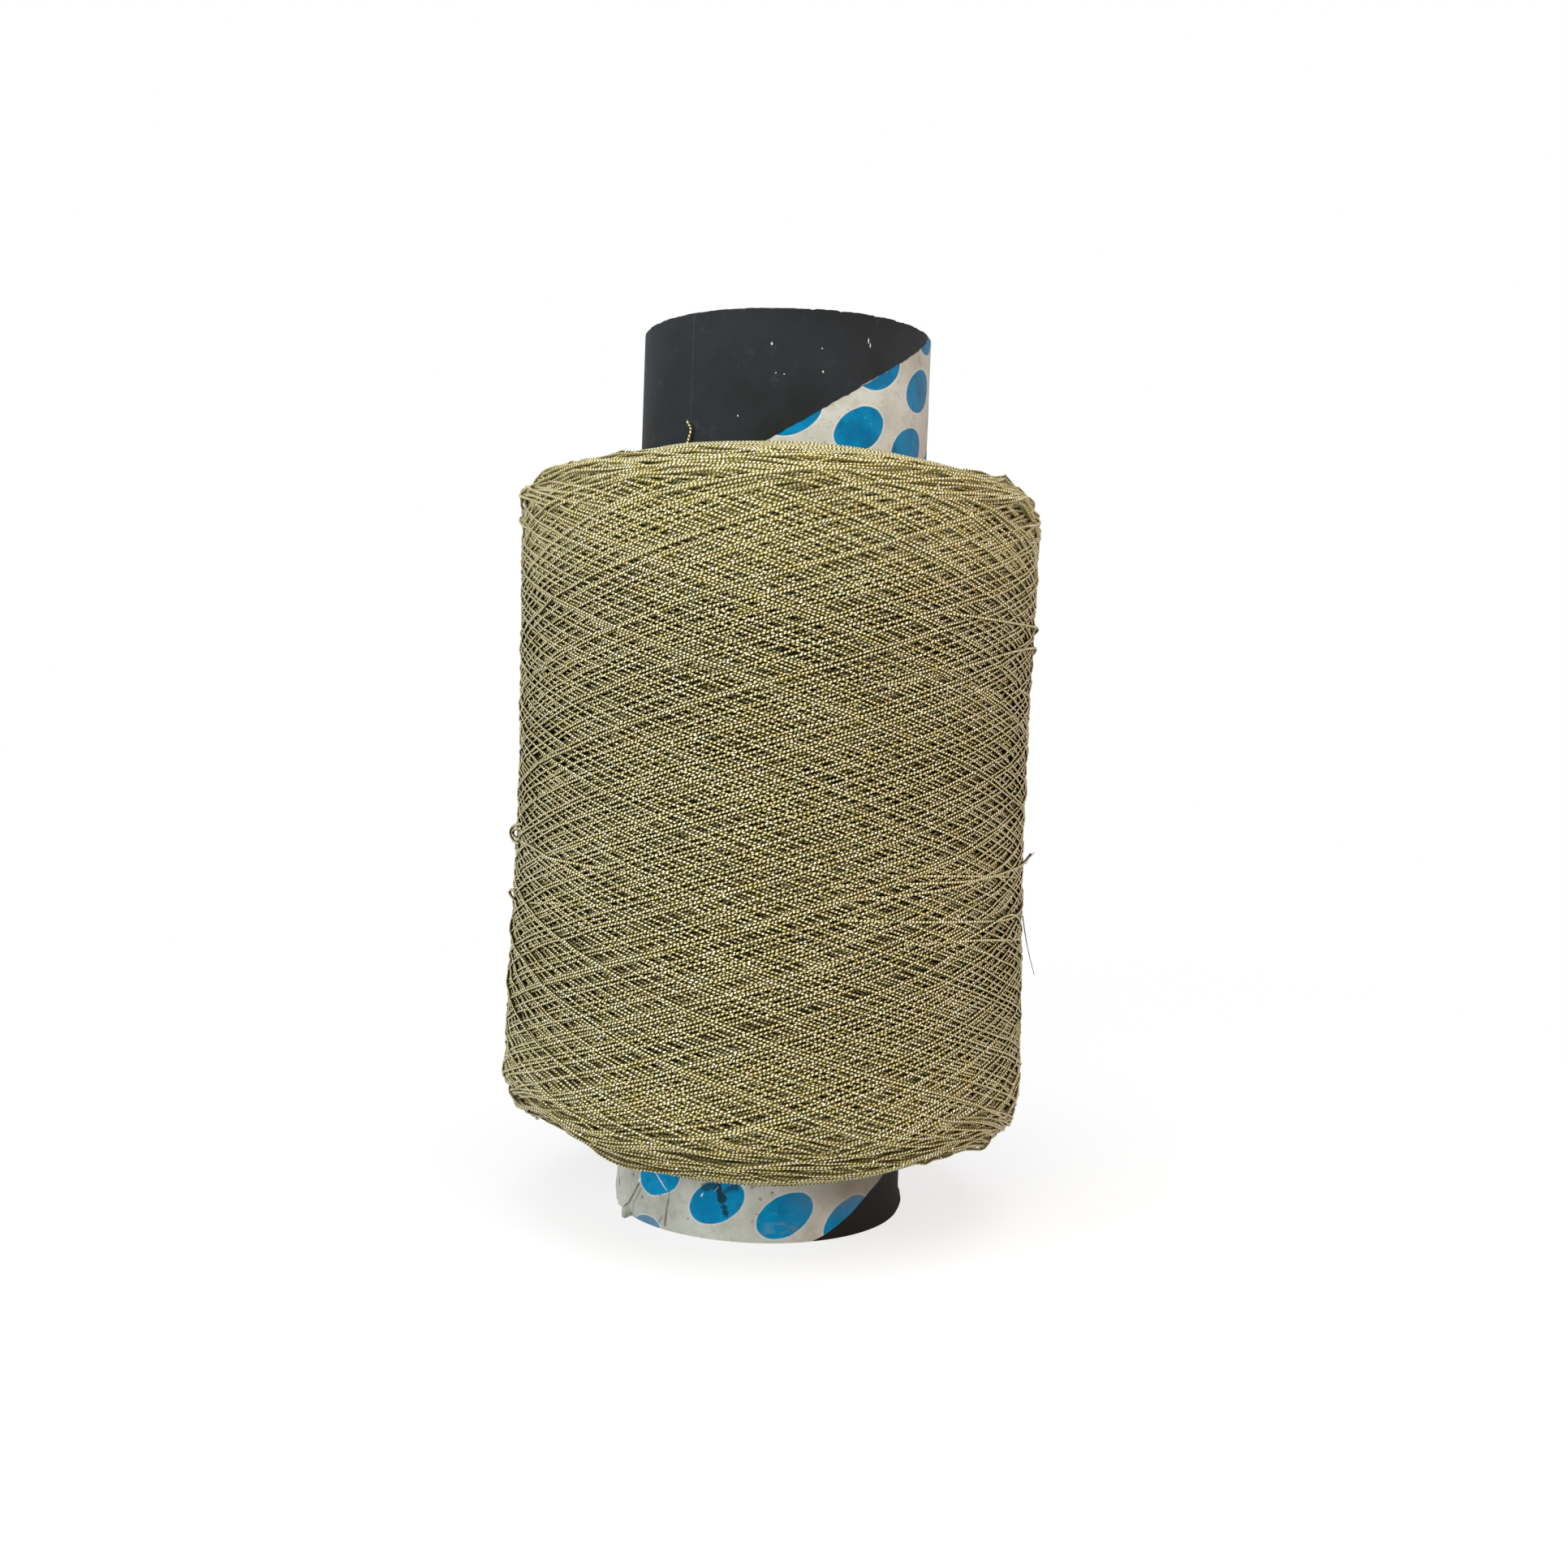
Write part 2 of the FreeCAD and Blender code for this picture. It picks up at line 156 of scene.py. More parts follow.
class Bench:
    """The node tree of one finish, and the one method that adds nodes to it."""

    def __init__(self, owner: Material | bpy.types.World) -> None:
        """Empty the owner's tree.

        Args:
            owner: The material or world whose nodes are built.
        """
        self.owner = owner
        owner.use_nodes = True
        self.tree = owner.node_tree
        self.tree.nodes.clear()

    def add(
        self,
        kind: str,
        settings: dict | None = None,
        inputs: dict | None = None,
        output: str | int = 0,
    ) -> Shade:
        """Add a node.

        Args:
            kind: The node's type.
            settings: Its properties.
            inputs: Values or links, by the socket's name or number.
            output: The socket to hand back.

        Returns:
            One of the node's outputs.
        """
        node = self.tree.nodes.new(kind)
        for key, value in (settings or {}).items():
            setattr(node, key, value)
        for key, value in (inputs or {}).items():
            if isinstance(value, Shade):
                self.tree.links.new(value.socket, node.inputs[key])
            else:
                node.inputs[key].default_value = value
        return Shade(self, node.outputs[output] if node.outputs else None)

    def paint(self, colour: Shade | tuple, *coats: tuple[Shade, Shade | tuple]) -> Shade:
        """Lay coats over a colour.

        Args:
            colour: What lies lowest.
            coats: Each coat's share and its colour, from the lowest up.

        Returns:
            The colour that is seen.
        """
        settings = {"data_type": "RGBA", "clamp_factor": True}
        for share, coat in coats:
            colour = self.add("ShaderNodeMix", settings, {0: share, 6: colour, 7: coat}, 2)
        return colour

    def place(self) -> Shade:
        """Coordinates on the object, in metres."""
        return self.add("ShaderNodeTexCoord", None, None, "Object")

    def parts(self, vector: Shade) -> tuple[Shade, Shade, Shade]:
        """Split a vector into its three numbers."""
        split = self.add("ShaderNodeSeparateXYZ", None, {0: vector})
        return tuple(Shade(self, output) for output in split.socket.node.outputs)

    def unrolled(self, name: str) -> tuple[Shade, Shade]:
        """The two numbers of a UV map."""
        return self.parts(self.add("ShaderNodeUVMap", {"uv_map": name}))[:2]

    def vector(self, x: Shade | float, y: Shade | float, z: Shade | float = 0.0) -> Shade:
        """Join three numbers into a vector."""
        return self.add("ShaderNodeCombineXYZ", None, {0: x, 1: y, 2: z})

    def noise(
        self, vector: Shade, scale: float, detail: float = 2.0, rough: float = 0.5
    ) -> Shade:
        """Smooth noise around 0.5.

        Args:
            vector: Where it is read.
            scale: Waves a unit of the vector.
            detail: How many finer waves are added.
            rough: How strong these are.

        Returns:
            The noise's value.
        """
        inputs = {"Vector": vector, "Scale": scale, "Detail": detail, "Roughness": rough}
        return self.add("ShaderNodeTexNoise", None, inputs)

    def lot(self, number: Shade) -> Shade:
        """A chance value of 0 to 1 for each number."""
        return self.add("ShaderNodeTexWhiteNoise", {"noise_dimensions": "1D"}, {"W": number})

    def bump(self, height: Shade, distance: float, strength: float) -> Shade:
        """The normal that a height in shares of a distance in metres gives."""
        inputs = {"Height": height, "Distance": distance, "Strength": strength}
        return self.add("ShaderNodeBump", None, inputs)

    def on_tube(self) -> tuple[Shade, Shade]:
        """Millimetres round the tube from its front line, and up it."""
        x, y, z = self.parts(self.place())
        return x.turn_to(y * -1.0) * TUBE_RADIUS, z * (1 / MM)

    def finish(self, **sockets: "Shade | float | tuple") -> Material:
        """End the tree in a Principled shader.

        Args:
            sockets: Its values and links, with _ in place of a space.

        Returns:
            The material.
        """
        inputs = {name.replace("_", " "): value for name, value in sockets.items()}
        shader = self.add("ShaderNodeBsdfPrincipled", None, inputs)
        self.add("ShaderNodeOutputMaterial", None, {"Surface": shader})
        return self.owner


# ---- Finishes --------------------------------------------------------------


@dataclass(frozen=True)
class BlackPaper:
    """Smooth black wrap paper with a faint sheen, dust, rubs and a crease.

    A fleck is an angle, a height, and its half width and half height.
    """

    base: tuple = srgb(33, 37, 40)
    worn: tuple = srgb(50, 54, 56)
    deep: tuple = srgb(22, 24, 24)
    foot: tuple = srgb(24, 22, 19)
    dust: tuple = srgb(205, 205, 198)
    foot_zone: tuple = (14.0, 6.0)
    lower_edge: float = 50.4
    torn_width: float = 0.1
    torn_from: tuple = (14.0, 17.0)
    torn_to: tuple = (35.0, 32.0)
    crease_angle: float = -0.668
    crease_zone: tuple = (150.0, 158.0)
    flecks: tuple = (
        (-0.105, 173.2, 0.2, 0.32), (0.548, 175.4, 0.14, 0.6), (0.562, 174.6, 0.13, 0.5),
        (0.232, 168.4, 0.2, 0.24), (-0.072, 167.7, 0.13, 0.13), (-0.019, 167.5, 0.13, 0.13),
        (-0.313, 159.6, 0.17, 0.17),
    )

    def make(self) -> Material:
        """Build the finish.

        Returns:
            The material.
        """
        bench = Bench(bpy.data.materials.new("black_paper_finish"))
        place = bench.place()
        swept, up = bench.on_tube()
        cloud = bench.noise(place, 45.0, 4.0, 0.6)
        rub = bench.noise(place, 260.0, 3.0, 0.65).ramp(0.58, 0.78)
        fine = bench.noise(place, 1500.0, 3.0, 0.7).ramp(0.60, 0.75)
        cells = bench.add("ShaderNodeTexVoronoi", None, {"Vector": place, "Scale": 330.0})
        speck = cells.ramp(0.07, 0.03) * bench.noise(place, 120.0, 1.0).ramp(0.58, 0.66)
        crease = (swept - self.crease_angle * TUBE_RADIUS).size().ramp(0.2, 0.05)
        crease = crease * up.ramp(*self.crease_zone) * cloud.ramp(0.3, 0.6)
        flecks = []
        for angle, height, width, tall in self.flecks:
            off = (swept - angle * TUBE_RADIUS) * (1 / width)
            rise = (up - height) * (1 / tall)
            flecks.append(((off * off + rise * rise).ramp(1.0, 0.5) * 0.9, self.dust))
        inside = bench.unrolled("strip")[1] * 100.0 - self.lower_edge
        torn = inside - (bench.noise(place, 1400.0, 2.0) * 0.5 + self.torn_width - 0.25)
        torn = torn.ramp(0.05, -0.05) * swept.ramp(*self.torn_from) * swept.ramp(*self.torn_to)
        colour = bench.paint(
            self.deep,
            (cloud.ramp(0.35, 0.68), self.base),
            (rub * 0.5, self.worn),
            (fine * 0.35, self.worn),
            (up.ramp(*self.foot_zone) * 0.8, self.foot),
            (speck * 0.7, self.dust),
            (crease * 0.5, self.worn),
            *flecks,
            (torn * 0.4, self.dust),
        )
        grain = bench.noise(place, 1600.0, 2.0) * 0.5 + bench.noise(place, 500.0, 3.0) * 0.8
        return bench.finish(
            Base_Color=colour,
            Roughness=0.55 + cloud * 0.2,
            Normal=bench.bump(grain, 0.00006, 0.55),
            Specular_IOR_Level=0.12,
        )


@dataclass(frozen=True)
class DottedPaper:
    """Off-white wrap paper with a common print of blue dots, soiled, creased and scuffed, with
    painted shade.

    The strip's UV map counts 100 mm along the strip and across it. A mark is
    a straight line: an angle in degrees from the front line and a height, the
    same of its end, its half width, and how strongly it shows.
    """

    paper: tuple = srgb(187, 190, 180)
    stain: tuple = srgb(140, 137, 122)
    shade: tuple = srgb(96, 89, 74)
    ink: tuple = srgb(0, 98, 140)
    ink_light: tuple = srgb(2, 132, 180)
    ink_deep: tuple = srgb(0, 66, 92)
    scuff_and_shadow: tuple = srgb(26, 36, 44)
    crease_shade_and_soil: tuple = srgb(88, 80, 60)
    soil: tuple = srgb(70, 64, 52)
    bare: tuple = srgb(206, 212, 214)
    row_pitch: float = 9.95
    row_shift: float = 10.84
    dot_pitch: float = 20.69
    first_row: float = -7.7
    first_dot: float = 18.4
    half_length: float = 6.0
    half_width: float = 4.55
    warp: float = 1.25
    foot_zone: tuple = (14.0, 11.0)
    head_zone: tuple = (140.0, 150.0)
    # Crease lines, whose darkening is painted shade, and short dark specks.
    folds: tuple = (
        (-53.9, 7.3, -58.0, 4.5, 0.22, 1.0), (-58.0, 4.5, -63.0, 1.6, 0.26, 1.0),
        (-63.0, 1.6, -65.0, 0.2, 0.2, 0.6), (-52.0, 6.7, -54.8, 4.6, 0.18, 0.7),
        (-54.8, 4.6, -57.6, 2.9, 0.18, 0.6), (-57.6, 2.9, -57.7, 1.0, 0.2, 0.4),
        (-35.9, 8.0, -36.2, 6.2, 0.16, 0.5), (-36.2, 6.2, -37.0, 4.1, 0.22, 0.8),
        (-37.0, 4.1, -37.6, 1.0, 0.26, 0.9), (-39.0, 2.5, -40.8, 1.2, 0.16, 0.6),
        (-75.8, 5.2, -75.0, 4.1, 0.35, 0.8), (-58.4, 8.7, -58.4, 8.5, 0.3, 0.8),
        (-51.1, 5.1, -51.2, 4.9, 0.26, 0.9), (-26.9, 3.4, -27.0, 3.3, 0.2, 0.6),
        (-7.0, 7.0, -7.1, 6.9, 0.24, 0.8), (1.0, 8.8, 1.2, 8.7, 0.3, 0.6),
        (-2.2, 11.0, 0.2, 11.9, 0.35, 0.6), (5.4, 10.0, 5.6, 10.0, 0.16, 0.9),
    )
    cracks: tuple = (
        (-44.9, 11.5, -42.5, 10.4, 0.16, 0.8), (-42.5, 10.4, -39.2, 8.8, 0.17, 1.0),
        (-39.2, 8.8, -37.3, 8.0, 0.13, 0.8), (-53.3, 8.4, -54.0, 7.8, 0.24, 1.2),
        (-21.2, 8.8, -21.7, 8.3, 0.15, 1.2), (-15.0, 10.5, -16.4, 9.6, 0.1, 0.5),
    )
    # Dark scuffs on the foot, partly grime and partly painted shadow under the package.
    scuffs_and_shadow: tuple = (
        (-20.0, 10.1, -15.4, 10.9, 0.75, 0.8), (-18.0, 11.9, -10.5, 12.3, 0.75, 0.65),
        (-12.4, 9.7, -8.4, 10.9, 0.6, 0.75), (-15.0, 10.2, -13.3, 8.2, 0.85, 1.0),
        (-13.2, 8.2, -12.7, 6.9, 0.5, 0.7), (-12.6, 6.6, -11.8, 5.6, 0.7, 0.95),
    )

    def dots(self, along: Shade, across: Shade) -> Shade:
        """Distance from the nearest dot's middle, in shares of the dot.

        Args:
            along: Millimetres along the strip.
            across: Millimetres across the strip.

        Returns:
            The distance, which is 1 on a dot's rim.
        """
        rows = (across - self.first_row) / self.row_pitch
        row = (rows + 0.5).floor()
        off_row = (rows - row) * (self.row_pitch / self.half_width)
        turns = (along - self.first_dot + row * self.row_shift) / self.dot_pitch
        off_dot = (turns - (turns + 0.5).floor()) * (self.dot_pitch / self.half_length)
        return (off_row * off_row + off_dot * off_dot).root()

    def marks(self, spot: tuple[Shade, Shade], marks: tuple, soft: float, wobble: Shade) -> Shade:
        """How strongly any of the marks shows.

        Args:
            spot: Millimetres round the tube and up it.
            marks: The marks.
            soft: How far, in widths, their edges fade.
            wobble: What makes their edges uneven, in millimetres.

        Returns:
            0 beside the marks and up to 1 on them.
        """
        shown = None
        degree = math.radians(1.0) * TUBE_RADIUS
        for angle, height, end_angle, end_height, width, strength in marks:
            run, climb = end_angle * degree - angle * degree, end_height - height
            across, up = spot[0] - angle * degree, spot[1] - height
            share = (across * run + up * climb) * (1 / (run * run + climb * climb)) & 1.0 | 0.0
            off_across, off_up = across - share * run, up - share * climb
            off = (off_across * off_across + off_up * off_up).root() + wobble
            mark = off.ramp(width * (1 + soft), width * (1 - soft)) * strength
            shown = mark if shown is None else shown | mark
        return shown

    def make(self) -> Material:
        """Build the finish.

        Returns:
            The material.
        """
        bench = Bench(bpy.data.materials.new("dotted_paper_finish"))
        place = bench.place()
        spot = swept, up = bench.on_tube()
        along, across = (part * 100.0 for part in bench.unrolled("strip"))
        wobble = bench.noise(place, 420.0, 3.0, 0.6) - 0.5
        raised = swept.ramp(-14.0, -21.0) * up.ramp(3.5, 6.5) * up.ramp(30.0, 20.0) * self.warp
        reach = self.dots(along - raised * 0.5, across - raised) + wobble * 0.08
        stain = bench.noise(place, 55.0, 4.0, 0.6).ramp(0.42, 0.75)
        blotch = bench.noise(place, 420.0, 4.0, 0.65)
        low = up.ramp(*self.foot_zone)
        foot = low * bench.noise(place, 190.0, 4.0, 0.7).ramp(0.42, 0.72)
        dirt = stain * 0.7 | foot * 0.5 | blotch.ramp(0.45, 0.7) * 0.4
        dull = low * swept.ramp(-13.0, -19.0) * swept.ramp(-38.0, -30.0)
        halo = (reach - 1.045).size().ramp(0.035, 0.01)
        paper = bench.paint(
            self.paper, (dirt, self.stain), (dull * 0.24, self.shade), (halo * 0.45, self.bare)
        )
        cloud = bench.noise(place, 150.0, 3.0, 0.6).ramp(0.35, 0.7)
        thin = bench.noise(place, 900.0, 2.0).ramp(0.64, 0.78)
        rubbed = (up - 3.0).size().ramp(1.6, 0.6) * (swept - 4.6).size().ramp(4.5, 1.5)
        rubbed = rubbed * blotch.ramp(0.4, 0.6) + swept.ramp(-18.0, -21.0) * up.ramp(2.4, 1.4)
        ink = bench.paint(
            self.ink,
            (cloud * 0.7 + low * 0.45, self.ink_light),
            (blotch.ramp(0.5, 0.75) * 0.35, self.ink_deep),
            (thin * 0.15, self.paper),
            (rubbed * 0.4, self.stain),
        )
        unprinted = swept.ramp(-30.5, -31.5) * up.ramp(20.0, 19.0) * across.ramp(37.4, 36.8)
        # Painted shadow of the package, darker towards the top of the foot on its right, and
        # painted shade at the right of the head.
        shaded = low * up.ramp(2.0, 10.0) * swept.ramp(2.0, 20.0)
        edge = up.ramp(*self.head_zone) * swept.ramp(16.0, 42.0) * swept.ramp(86.0, 56.0)
        uneven = wobble * 2.0 + (bench.noise(place, 1100.0, 3.0, 0.6) - 0.5) * 1.5
        folded = self.marks(spot, self.folds, 0.6, wobble * 0.25)
        specks = bench.noise(place, 1300.0, 2.0).ramp(0.66, 0.72)
        specks = specks * bench.noise(place, 160.0, 2.0).ramp(0.48, 0.62)
        colour = bench.paint(
            paper,
            (reach.ramp(1.02, 0.98) * (1 - unprinted), ink),
            (shaded * 0.68 | edge * 0.32, self.shade),
            # Dark scuffs, with painted shadow under the package.
            (self.marks(spot, self.scuffs_and_shadow, 0.45, uneven) * 0.9, self.scuff_and_shadow),
            (self.marks(spot, self.cracks, 0.4, wobble * 0.1) * 0.85, self.bare),
            # Painted shade in the creases, and dark specks.
            (folded * 0.8, self.crease_shade_and_soil),
            (specks * 0.75, self.soil),
        )
        grain = bench.noise(place, 900.0, 3.0) + bench.noise(place, 220.0, 3.0) * 1.5
        return bench.finish(
            Base_Color=colour,
            Roughness=0.62 + stain * 0.15,
            Normal=bench.bump(grain - folded * 3.0, 0.00008, 0.7),
            Specular_IOR_Level=0.06,
        )


@dataclass(frozen=True)
class Board:
    """Grey-brown board of recycled paper, seen on the cut ends of the tube."""

    name: str
    base: tuple = srgb(150, 128, 98)
    dark: tuple = srgb(110, 90, 66)
    streak_scale: float = 900.0

    def make(self) -> Material:
        """Build the finish.

        Returns:
            The material.
        """
        bench = Bench(bpy.data.materials.new(self.name))
        place = bench.place()
        x, y, z = bench.parts(place)
        layered = bench.vector((x * x + y * y).root() * 6.0, z, (x + y) * 0.4)
        layer = bench.noise(layered, self.streak_scale, 2.0)
        fibre = bench.noise(place, 700.0, 4.0, 0.65)
        dark = (layer * 0.6 + fibre * 0.5).ramp(0.35, 0.75)
        return bench.finish(
            Base_Color=bench.paint(self.base, (dark, self.dark)),
            Roughness=0.85,
            Normal=bench.bump(fibre + layer * 0.7, 0.00015, 0.7),
            Specular_IOR_Level=0.25,
        )


@dataclass(frozen=True)
class MetallicThread:
    """Khaki yarn with a gold film twisted round it, with painted shade and painted glints.

    The UV map counts 100 mm along the thread, and one turn around it from
    the side that faces out of the package. The zones are heights in metres.
    """

    yarn: tuple = srgb(140, 122, 24)
    yarn_deep: tuple = srgb(92, 76, 0)
    film: tuple = srgb(242, 240, 218)
    film_deep: tuple = srgb(192, 183, 122)
    glint: tuple = srgb(255, 253, 242)
    # The colour of the painted shade on the strands.
    groove_shade: tuple = srgb(34, 25, 0)
    amber_flank_shade: tuple = srgb(168, 152, 48)
    cool: tuple = srgb(178, 224, 208)
    rosy: tuple = srgb(228, 186, 156)
    lemon: tuple = srgb(226, 214, 96)
    pitch: float = 0.76
    half_film: float = 0.27
    slip: float = 2.0
    head_zone: tuple = (0.118, 0.145)
    foot_zone: tuple = (0.050, 0.022)
    lower_edge: tuple = (0.0125, 0.0175)
    upper_edge: tuple = (0.1480, 0.1520)

    def lit(self, height: Shade) -> Shade:
        """How much the painted shade between the strands is lessened at the two shoulders, as
        painted light.
        """
        lit = height.ramp(*self.head_zone) * 0.45 + height.ramp(*self.foot_zone) * 0.2
        return lit * height.ramp(*self.lower_edge) * (1 - height.ramp(*self.upper_edge) * 0.8)

    def make(self) -> Material:
        """Build the finish.

        Returns:
            The material.
        """
        bench = Bench(bpy.data.materials.new("metallic_thread_finish"))
        along, around = bench.unrolled("strand")
        drift = bench.noise(bench.vector(along, 0.0), 24.0, 2.0)
        twist = along * (100.0 / self.pitch) + around + drift * self.slip
        wave = (twist.wrapped() - 0.5).size()
        film = wave.ramp(self.half_film + 0.06, self.half_film - 0.06)
        luck, chance = bench.lot(twist.floor()), bench.lot((twist * 2.0).floor() + 0.37)
        yarn_light = luck * 0.7 + drift.ramp(0.3, 0.7) * 0.3
        x, y, z = bench.parts(bench.place())
        hue = bench.noise(bench.vector(x, y, z), 340.0, 2.0, 0.6)
        warmth = bench.noise(bench.vector(x + 0.4, y, z), 260.0, 2.0, 0.6)
        # Painted glints: a few half-beads turn near white, and are also more metallic and
        # smoother.
        glint = chance.ramp(0.88, 0.98)
        gold = bench.paint(
            self.film_deep,
            (chance, self.film),
            (hue.ramp(0.58, 0.70) * 0.3, self.cool),
            (hue.ramp(0.42, 0.30) * 0.35, self.rosy),
            (warmth.ramp(0.56, 0.70) * 0.22, self.lemon),
            (glint, self.glint),
        )
        crown = (around * FULL_TURN).cosine()
        # Painted highlight: a rare bead turns near white and fully metallic.
        spark = luck.ramp(0.988, 0.991) * wave.ramp(0.24, 0.16)
        lit = self.lit(z)
        sunk = bench.add("ShaderNodeAttribute", {"attribute_name": "sunk"}, None, "Fac")
        # Painted shade: darker on the strands' flanks, on the yarn between the film's turns and on
        # strands that lie deep; it also dulls the film's metal.
        shade = crown.ramp(0.93, 0.52) * (0.99 - lit * 1.2)
        shade = shade | wave.ramp(0.28, 0.42) * (0.72 - lit * 0.6)
        shade = (shade | sunk.ramp(0.3, 1.1) * (0.6 - lit)) * (1 - spark)
        colour = bench.paint(
            self.yarn_deep,
            (yarn_light, self.yarn),
            (film, gold),
            # Painted shade: an amber tint off the strands' crowns.
            (crown.ramp(0.985, 0.80) * 0.3, self.amber_flank_shade),
            (spark, self.glint),
            (shade, self.groove_shade),
        )
        fuzz = bench.noise(bench.vector(along * 100.0, around * 3.0), 6.0, 2.0)
        height = film * 0.6 + (0.5 - wave) * 0.8 + fuzz * 0.3
        metal = film * (0.25 + glint * 0.55) * (1 - shade)
        return bench.finish(
            Base_Color=colour,
            Metallic=metal | spark,
            Roughness=0.62 - film * 0.22 - film * glint * 0.15,
            Normal=bench.bump(height, 0.00012, 0.8),
            Specular_IOR_Level=0.02,
        )


@dataclass(frozen=True)
class StrayFibre:
    """Grey lint that has caught on the winding."""

    pale: tuple = srgb(120, 120, 118)
    dark: tuple = srgb(70, 70, 70)

    def make(self) -> Material:
        """Build the finish.

        Returns:
            The material.
        """
        bench = Bench(bpy.data.materials.new("stray_fibre_finish"))
        blotch = bench.noise(bench.place(), 600.0, 2.0).ramp(0.35, 0.65)
        colour = bench.paint(self.dark, (blotch, self.pale))
        return bench.finish(Base_Color=colour, Roughness=0.8, Specular_IOR_Level=0.3)


@dataclass(frozen=True)
class PackedThread:
    """The dark inside of the winding, seen between its outer strands: thread in painted shade."""

    base: tuple = srgb(74, 62, 20)
    dark: tuple = srgb(34, 26, 4)
    near: tuple = srgb(132, 118, 66)
    lean: float = 0.31
    pitch: float = 0.75
    head_zone: tuple = (0.128, 0.146)
    foot_zone: tuple = (0.046, 0.024)

    def make(self) -> Material:
        """Build the finish.

        Returns:
            The material.
        """
        bench = Bench(bpy.data.materials.new("packed_thread_finish"))
        around, up = bench.unrolled("wound")
        first, second = (
            ((up * 100.0 + around * (100.0 * lean)) / self.pitch).wrapped() - 0.5
            for lean in (self.lean, -self.lean)
        )
        ridge = first.size() & second.size()
        place = bench.place()
        height = bench.parts(place)[2]
        speck = bench.noise(place, 1500.0, 2.0)
        # Painted shade between the packed turns, which are lighter along their ridges.
        share = ridge.ramp(0.35, 0.05) * 0.7 + speck.ramp(0.5, 0.7) * 0.4
        # Painted light: lighter towards the two shoulders.
        shoulder = height.ramp(*self.head_zone) * 0.9 + height.ramp(*self.foot_zone) * 0.6
        base = bench.paint(self.base, (shoulder, self.near))
        share = share * (1 - shoulder * 0.4) + shoulder * 0.4
        return bench.finish(
            Base_Color=bench.paint(self.dark, (share, base)),
            Roughness=0.75,
            Normal=bench.bump(ridge * -1.0, 0.0003, 0.8),
            Specular_IOR_Level=0.12,
        )


# ---- Meshes ----------------------------------------------------------------


def deselect() -> None:
    """Leave nothing selected, and no object in edit mode."""
    if bpy.context.object and bpy.context.object.mode != "OBJECT":
        bpy.ops.object.mode_set(mode="OBJECT")
    bpy.ops.object.select_all(action="DESELECT")


def link(data: bpy.types.ID) -> Piece:
    """Put a mesh, lamp, curve or camera into the scene, under its own name.

    Args:
        data: What the object shows.

    Returns:
        The new object.
    """
    holder = bpy.data.objects.new(data.name, data)
    bpy.context.scene.collection.objects.link(holder)
    return holder


def dress(piece: Piece, material: Material) -> None:
    """Give a piece one material."""
    piece.data.materials.clear()
    piece.data.materials.append(material)


def hand_over(piece: Piece, material: Material, slot: Slot, *nodes: str) -> None:
    """Dress a piece, and let it ride on the body and stand for its nodes.

    Args:
        piece: The finished piece.
        material: Its finish.
        slot: The record's slot for its finish; not used.
        nodes: The frame's nodes that it replaces.
    """
    dress(piece, material)
    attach(piece, "root")
    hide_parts(*nodes)
    log.info("%s: %d faces", piece.name, len(piece.data.polygons))


def polar(radius: Array | float, angle: Array, height: Array | float) -> Array:
    """Points at a radius, an angle from the front line and a height."""
    across, ahead = radius * np.sin(angle), -radius * np.cos(angle)
    return np.stack(np.broadcast_arrays(across, ahead, height), -1)


def travelled(points: Array) -> Array:
    """How far each point of a line lies from its start, along the line."""
    steps = np.linalg.norm(np.diff(points, axis=0), axis=1)
    return np.concatenate([[0], np.cumsum(steps)])


def bell(off: Array, spread: float) -> Array:
    """A bell curve, which is 1 where there is no distance."""
    return np.exp(-((off / spread) ** 2))


def within_turn(angle: Array) -> Array:
    """The same angle within half a turn of the front line."""
    return (angle + math.pi) % FULL_TURN - math.pi


def evened(values: Array, window: Array) -> Array:
    """Even values out under a window of weights."""
    padded = np.pad(values, len(window) // 2, mode="edge")
    return np.convolve(padded, window / window.sum(), "valid")


def pairs(first: Array, second: Array) -> Array:
    """Join two arrays, stretched to each other's shape, into pairs of numbers."""
    return np.stack(np.broadcast_arrays(first, second), -1).reshape(-1, 2)


def new_piece(
    name: str, points: Array, corners: Array, starts: Array, layer: str, uv: Array
) -> Piece:
    """Make a smooth piece.

    Args:
        name: Its name.
        points: Its vertices, in millimetres.
        corners: The vertices round its faces, face after face.
        starts: Where each face starts among them.
        layer: The UV map's name.
        uv: The map's values, corner by corner.

    Returns:
        The new object.
    """
    mesh = bpy.data.meshes.new(name)
    mesh.vertices.add(len(points))
    mesh.vertices.foreach_set("co", (points * MM).astype(np.float32).ravel())
    mesh.loops.add(len(corners))
    mesh.loops.foreach_set("vertex_index", corners.astype(np.int32))
    mesh.polygons.add(len(starts))
    mesh.polygons.foreach_set("loop_start", starts.astype(np.int32))
    mesh.update(calc_edges=True)
    unrolled = mesh.uv_layers.new(name=layer)
    unrolled.uv.foreach_set("vector", uv.astype(np.float32).ravel())
    mesh.validate()
    mesh.shade_smooth()
    return link(mesh)


@dataclass
class Strand:
    """A stretch of thread.

    It has its centre line, the way out of the surface there, the length of
    thread before it, and how far it lies below the highest strands round it.
    """

    points: Array
    outward: Array
    start: float = 0.0
    sunk: Array | float = 0.0


